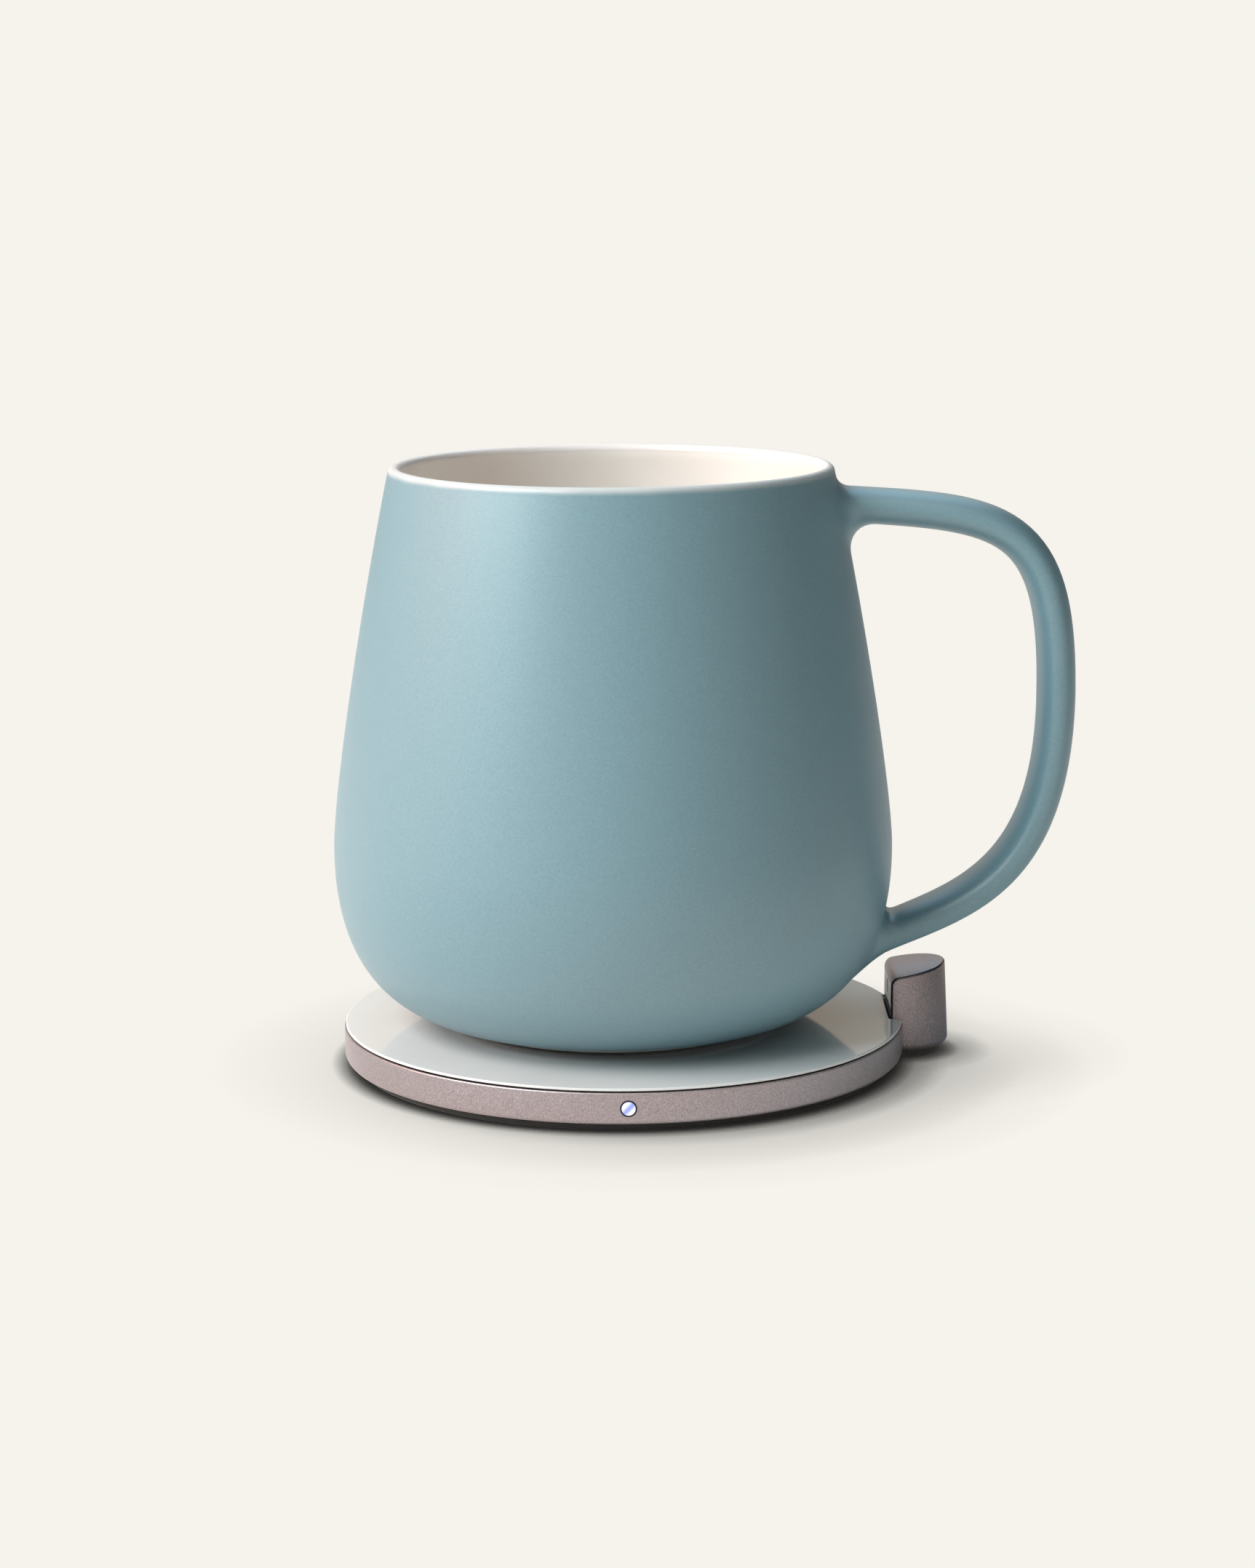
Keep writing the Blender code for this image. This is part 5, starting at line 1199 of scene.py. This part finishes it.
# Window: a polished smoked panel let into the post's flat, with a round hole for the lens. The
# infrared lens behind it looks at the mug's wall.
WINDOW_BEVEL = ((0.0, 0.12), (0.03, 0.03), (0.1, 0.0), (0.2, 0.0))
LENS_GAP, LENS_HOLE_RUN, LENS_CROWN, CROWN_STEPS = 0.1, (-5, 2), 0.12, 8

# Smoked optical polymer: a dark clear gloss that mirrors the plate and the mug.
smoked = grained("smoked_optical_polymer", ("4A504F", "454B4A", "525856"), 0.04, (3.0, 2.0), IOR=1.52)

window_loops = [window_loop(0.0, back_x)]
window_loops += [window_loop(inset, POST_FLAT + depth) for inset, depth in WINDOW_BEVEL]
window = skinned("smoked_window", window_loops, (smoked,))
hole = bar(LENS_RADIUS + LENS_GAP, *((POST_X + x, POST_Y, LENS_LEVEL) for x in LENS_HOLE_RUN))
combined(window, "DIFFERENCE", hole)
finished(window, "pad")
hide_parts("post_window")

# Coated germanium lens: black to the eye, with a sharp reflection.
lens_black = grained("coated_black_lens", ("07080A", "060709", "0B0A10"), 0.03, (0.6, 1.0), IOR=1.6)
crown = arc((0.0, -LENS_CROWN), (LENS_RADIUS, LENS_CROWN), 90, 0, CROWN_STEPS)
outline = np.vstack((crown, ((LENS_RADIUS, -WINDOW_DEPTH), (0.0, -WINDOW_DEPTH))))
lens = turned("coated_sensor_lens", outline, (lens_black,), steps=BAR_STEPS)
laid(lens, [[0, 0, -1, POST_X + POST_FLAT], [0, 1, 0, POST_Y], [1, 0, 0, LENS_LEVEL], [0, 0, 0, 1]])
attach(lens, "pad")
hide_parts("sensor_lens")

# Post's base: a moulded plug that closes the post from below, held by one pan head screw in the
# post's boss. It can be seen when the pad is turned over.
PLUG_THICKNESS, PLUG_GAP, PLUG_DRAFT, PLUG_ROUND = 0.8, 0.3, 0.03, 0.12
HEAD_RADIUS, HEAD_HEIGHT, HEAD_ROOM = 1.2, 0.5, 0.3
PLUG_HOLE_TOP, PLUG_STEPS = 4, 120

plug_radius = post_radius(RING_BOTTOM) - POST_WALL - PLUG_GAP
plug_outline = [
    (0, RING_BOTTOM),
    (plug_radius, RING_BOTTOM),
    (plug_radius - PLUG_DRAFT, RING_BOTTOM + PLUG_THICKNESS),
    (0, RING_BOTTOM + PLUG_THICKNESS),
]
plug_line = eased(plug_outline, [0, PLUG_ROUND, PLUG_ROUND, 0])
plug = turned("post_plug", plug_line, (moulding,), None, centre, PLUG_STEPS)
plug_front = slab(
    (POST_X - CUT_PAST, CUT_FRONT, CUT_BELOW), (POST_X + POST_CAVITY_X + PLUG_GAP, CUT_BACK, CUT_PAST)
)
sink_radius, sink_top = HEAD_RADIUS + HEAD_ROOM, RING_BOTTOM + HEAD_HEIGHT
sink = upright(sink_radius, POST_SCREW, CUT_BELOW, sink_top, BOSS_STEPS)
through = upright(pilot_radius, POST_SCREW, CUT_BELOW, PLUG_HOLE_TOP, PILOT_STEPS)
combined(plug, "DIFFERENCE", plug_front, sink, through)
finished(plug, "pad")
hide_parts("post_base")

# Screws: cold headed and rolled steel, nickel plated. Four hold the pad's cover to the ring's flange,
# and one holds the post's base. Their heads, with six lobed drives, show when the pad is turned over.
HEAD_SINK, HEAD_ROUND, NECK_ROUND, TIP_SHARE = 0.3, 0.12, 0.04, 0.6
THREAD_START, THREAD_END, THREAD_PITCH = 0.2, 0.4, 0.25
THREAD_DEPTH, THREAD_HALF = 0.1, 0.12
DRIVE_RADIUS, DRIVE_DEPTH, DRIVE_POINTS, DRIVE_LOBES = 0.55, 0.15, 6, 0.12
DRIVE_STEPS, SCREW_STEPS = 24, 48


def pan_screw(name, node, place, length):
    """A pan head screw with a six lobed drive and a ridged thread, standing on its head."""
    sunk = HEAD_HEIGHT - HEAD_SINK
    outline = [(0, 0), (HEAD_RADIUS, 0), (HEAD_RADIUS, sunk), (SCREW_RADIUS, sunk)]
    outline = list(eased(outline, [0, HEAD_ROUND, NECK_ROUND, 0]))
    for turn in range(int((length - sunk - THREAD_END) / THREAD_PITCH)):
        level = sunk + THREAD_START + turn * THREAD_PITCH
        outline += [(SCREW_RADIUS, level), (SCREW_RADIUS - THREAD_DEPTH, level + THREAD_HALF)]
    outline += [(SCREW_RADIUS * TIP_SHARE, length), (0, length)]
    made = turned(name, outline, (nickel,), None, (*place, RING_BOTTOM), SCREW_STEPS)
    angles = 2 * math.pi * np.arange(DRIVE_STEPS) / DRIVE_STEPS
    reaches = DRIVE_RADIUS * (1 - DRIVE_LOBES * (1 + np.cos(DRIVE_POINTS * angles + math.pi)))
    lobes = np.column_stack((reaches * np.cos(angles), reaches * np.sin(angles))) + place
    ends = (RING_BOTTOM - 1, RING_BOTTOM + DRIVE_DEPTH)
    drive = skinned("cutter", [np.insert(lobes, 2, level, axis=1) for level in ends])
    combined(made, "DIFFERENCE", drive)
    finished(made, "pad")
    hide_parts(node)


pan_screw("post_pan_screw", "post_screw", POST_SCREW, SCREW_TOP - RING_BOTTOM)
for index, place in enumerate(COVER_SCREWS, 1):
    pan_screw(f"cover_pan_screw_{index}", f"cover_screw_{index}", place, FLANGE_TOP - RING_BOTTOM)

# Coils: flat spirals of litz wire, each bonded into one disc. The pad's coil sends the power, and the
# mug's picks it up and carries the heat's current.
WIRE_PITCH, WIRE_ANGLES, COIL_STEPS = 1.1, np.radians(np.linspace(160, 20, 6)), 120
COIL_SMOOTH_ANGLE = math.radians(60)

# Enamelled litz wire: bundled copper strands under a clear brown film.
litz = grained(
    "enamelled_litz_wire", ("A9633A", "8E4F2B", "C27B4C"), 0.35, (0.12, 2.0), 0.02, metallic=0.8
)

for name, node, body, inner_coil in (
    ("wound_transmitter_coil", "transmitter_coil", "pad", 9.0),
    ("wound_receiver_coil", "receiver_coil", "mug", 8.0),
):
    low, high = corners_mm(node)
    span, half_height = (high[0] - low[0]) / 2 - inner_coil, (high[2] - low[2]) / 2
    wires = int(span / WIRE_PITCH)
    pitch = span / wires
    upper = [
        (inner_coil + (k + 0.5) * pitch + pitch / 2 * math.cos(a), half_height * math.sin(a))
        for k in range(wires)
        for a in WIRE_ANGLES
    ]
    lower = [(r, -z) for r, z in upper[::-1]]
    coil = turned(name, upper + lower, (litz,), body, (low + high) / 2, COIL_STEPS, COIL_SMOOTH_ANGLE)
    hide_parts(node)

# Pieces sealed inside the pad and the mug's base: boards, chips, seals, ferrites, the heater and its
# felt. Their solids are the real shapes, so they stay, and get the material that each is made of.

# Closed cell foam: black and dull, with fine open pores at its cut faces.
foam, tree, shader = principled("closed_cell_foam", "1C1C1C", 0.9)
place = add(tree, "TexCoord").outputs["Object"]
pores = add(tree, "TexVoronoi", {"Scale": 1 / (0.4 * MM)}, {"Vector": place}).outputs["Distance"]
tinted(tree, shader, pores, "0E0E0E", "262626")
bumped(tree, shader, pores, 0.03)

# Sintered ferrite: hard grey black ceramic with a sanded face.
ferrite = grained("sintered_ferrite", ("3A3836", "302E2C", "454240"), 0.6, (0.15, 4.0), 0.01)

# Circuit board: green solder mask, with the copper tracks below it as lighter lines.
board, tree, shader = principled("solder_masked_board", "1F5A3A", 0.35)
place = add(tree, "TexCoord").outputs["Object"]
tracks = add(
    tree,
    "TexVoronoi",
    {"feature": "DISTANCE_TO_EDGE", "distance": "MANHATTAN", "Scale": 1 / (2.2 * MM)},
    {"Vector": place},
).outputs["Distance"]
lines = ranged(tree, tracks, 0.04, 0.07, 1.0, 0.0)
tinted(tree, shader, lines, "1A4D32", "2F7A4E")
bumped(tree, shader, lines, 0.03)

# Black epoxy: moulded chip bodies with the fine matte of their mould.
epoxy = grained("moulded_epoxy", ("1A1A1C", "151517", "222224"), 0.45, (0.1, 3.0), 0.008)

# Fired chip capacitors: tan ceramic, speckled from firing.
ceramic = grained(
    "fired_chip_ceramic", ("B59A74", "A88C66", "BFA57F"), 0.45, (0.2, 3.0), between=(0.35, 0.65)
)

# Needled felt: pale mineral fibres that lie in all directions.
felt = grained(
    "needled_mineral_felt",
    ("E4E0D6", "D2CDC1", "EFECE4"),
    0.95,
    (0.3, 5.0, (1.0, 0.35, 1.0)),
    0.08,
    Sheen_Weight=0.3,
)

# Polyimide film: amber and clear, with an etched heating track that winds below its surface.
film, tree, shader = principled("polyimide_film", "B4691E", 0.25, Coat_Weight=0.4)
place = add(tree, "TexCoord").outputs["Object"]
winding = add(
    tree,
    "TexWave",
    {"wave_type": "RINGS", "rings_direction": "Z", "Scale": 1 / (9.0 * MM), "Distortion": 1.5},
    {"Vector": place},
).outputs["Fac"]
tinted(tree, shader, ranged(tree, winding, 0.45, 0.55), "B4691E", "7C4A22")

# Rolled aluminium: bright sheet with fine marks of the roll along one way.
rolled = grained(
    "rolled_aluminium",
    ("C8C9CB", "BDBEC0", "D2D3D5"),
    (0.3, 0.22, 0.38),
    (0.2, 3.0, (1.0, 0.05, 1.0)),
    metallic=1.0,
)

# Lead frame package: white epoxy cup of the status light.
cup = grained("white_epoxy_cup", ("E6E6E2", "DEDEDA", "ECECE8"), 0.4, (0.1, 2.0))

for material, nodes in (
    (foam, ("base_gasket", "plate_gasket")),
    (ferrite, ("receiver_ferrite", "ferrite_disc", "inductor")),
    (board, ("receiver_board", "main_board", "post_board")),
    (epoxy, ("receiver_chip", "controller_chip", "bridge_chip", "floor_thermistor", "pad_thermistor")),
    (ceramic, ("receiver_capacitor_1", "receiver_capacitor_2")),
    (ceramic, tuple(f"resonance_capacitor_{index}" for index in (1, 2, 3))),
    (felt, ("insulation_disc",)),
    (film, ("film_heater", "sensor_cable")),
    (rolled, ("heat_spreader",)),
    (nickel, ("thermal_fuse", "infrared_sensor")),
    (cup, ("status_led",)),
    (moulding, ("bottom_cover", "coil_carrier")),
):
    for node in nodes:
        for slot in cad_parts[node].material_slots:
            slot.material = material
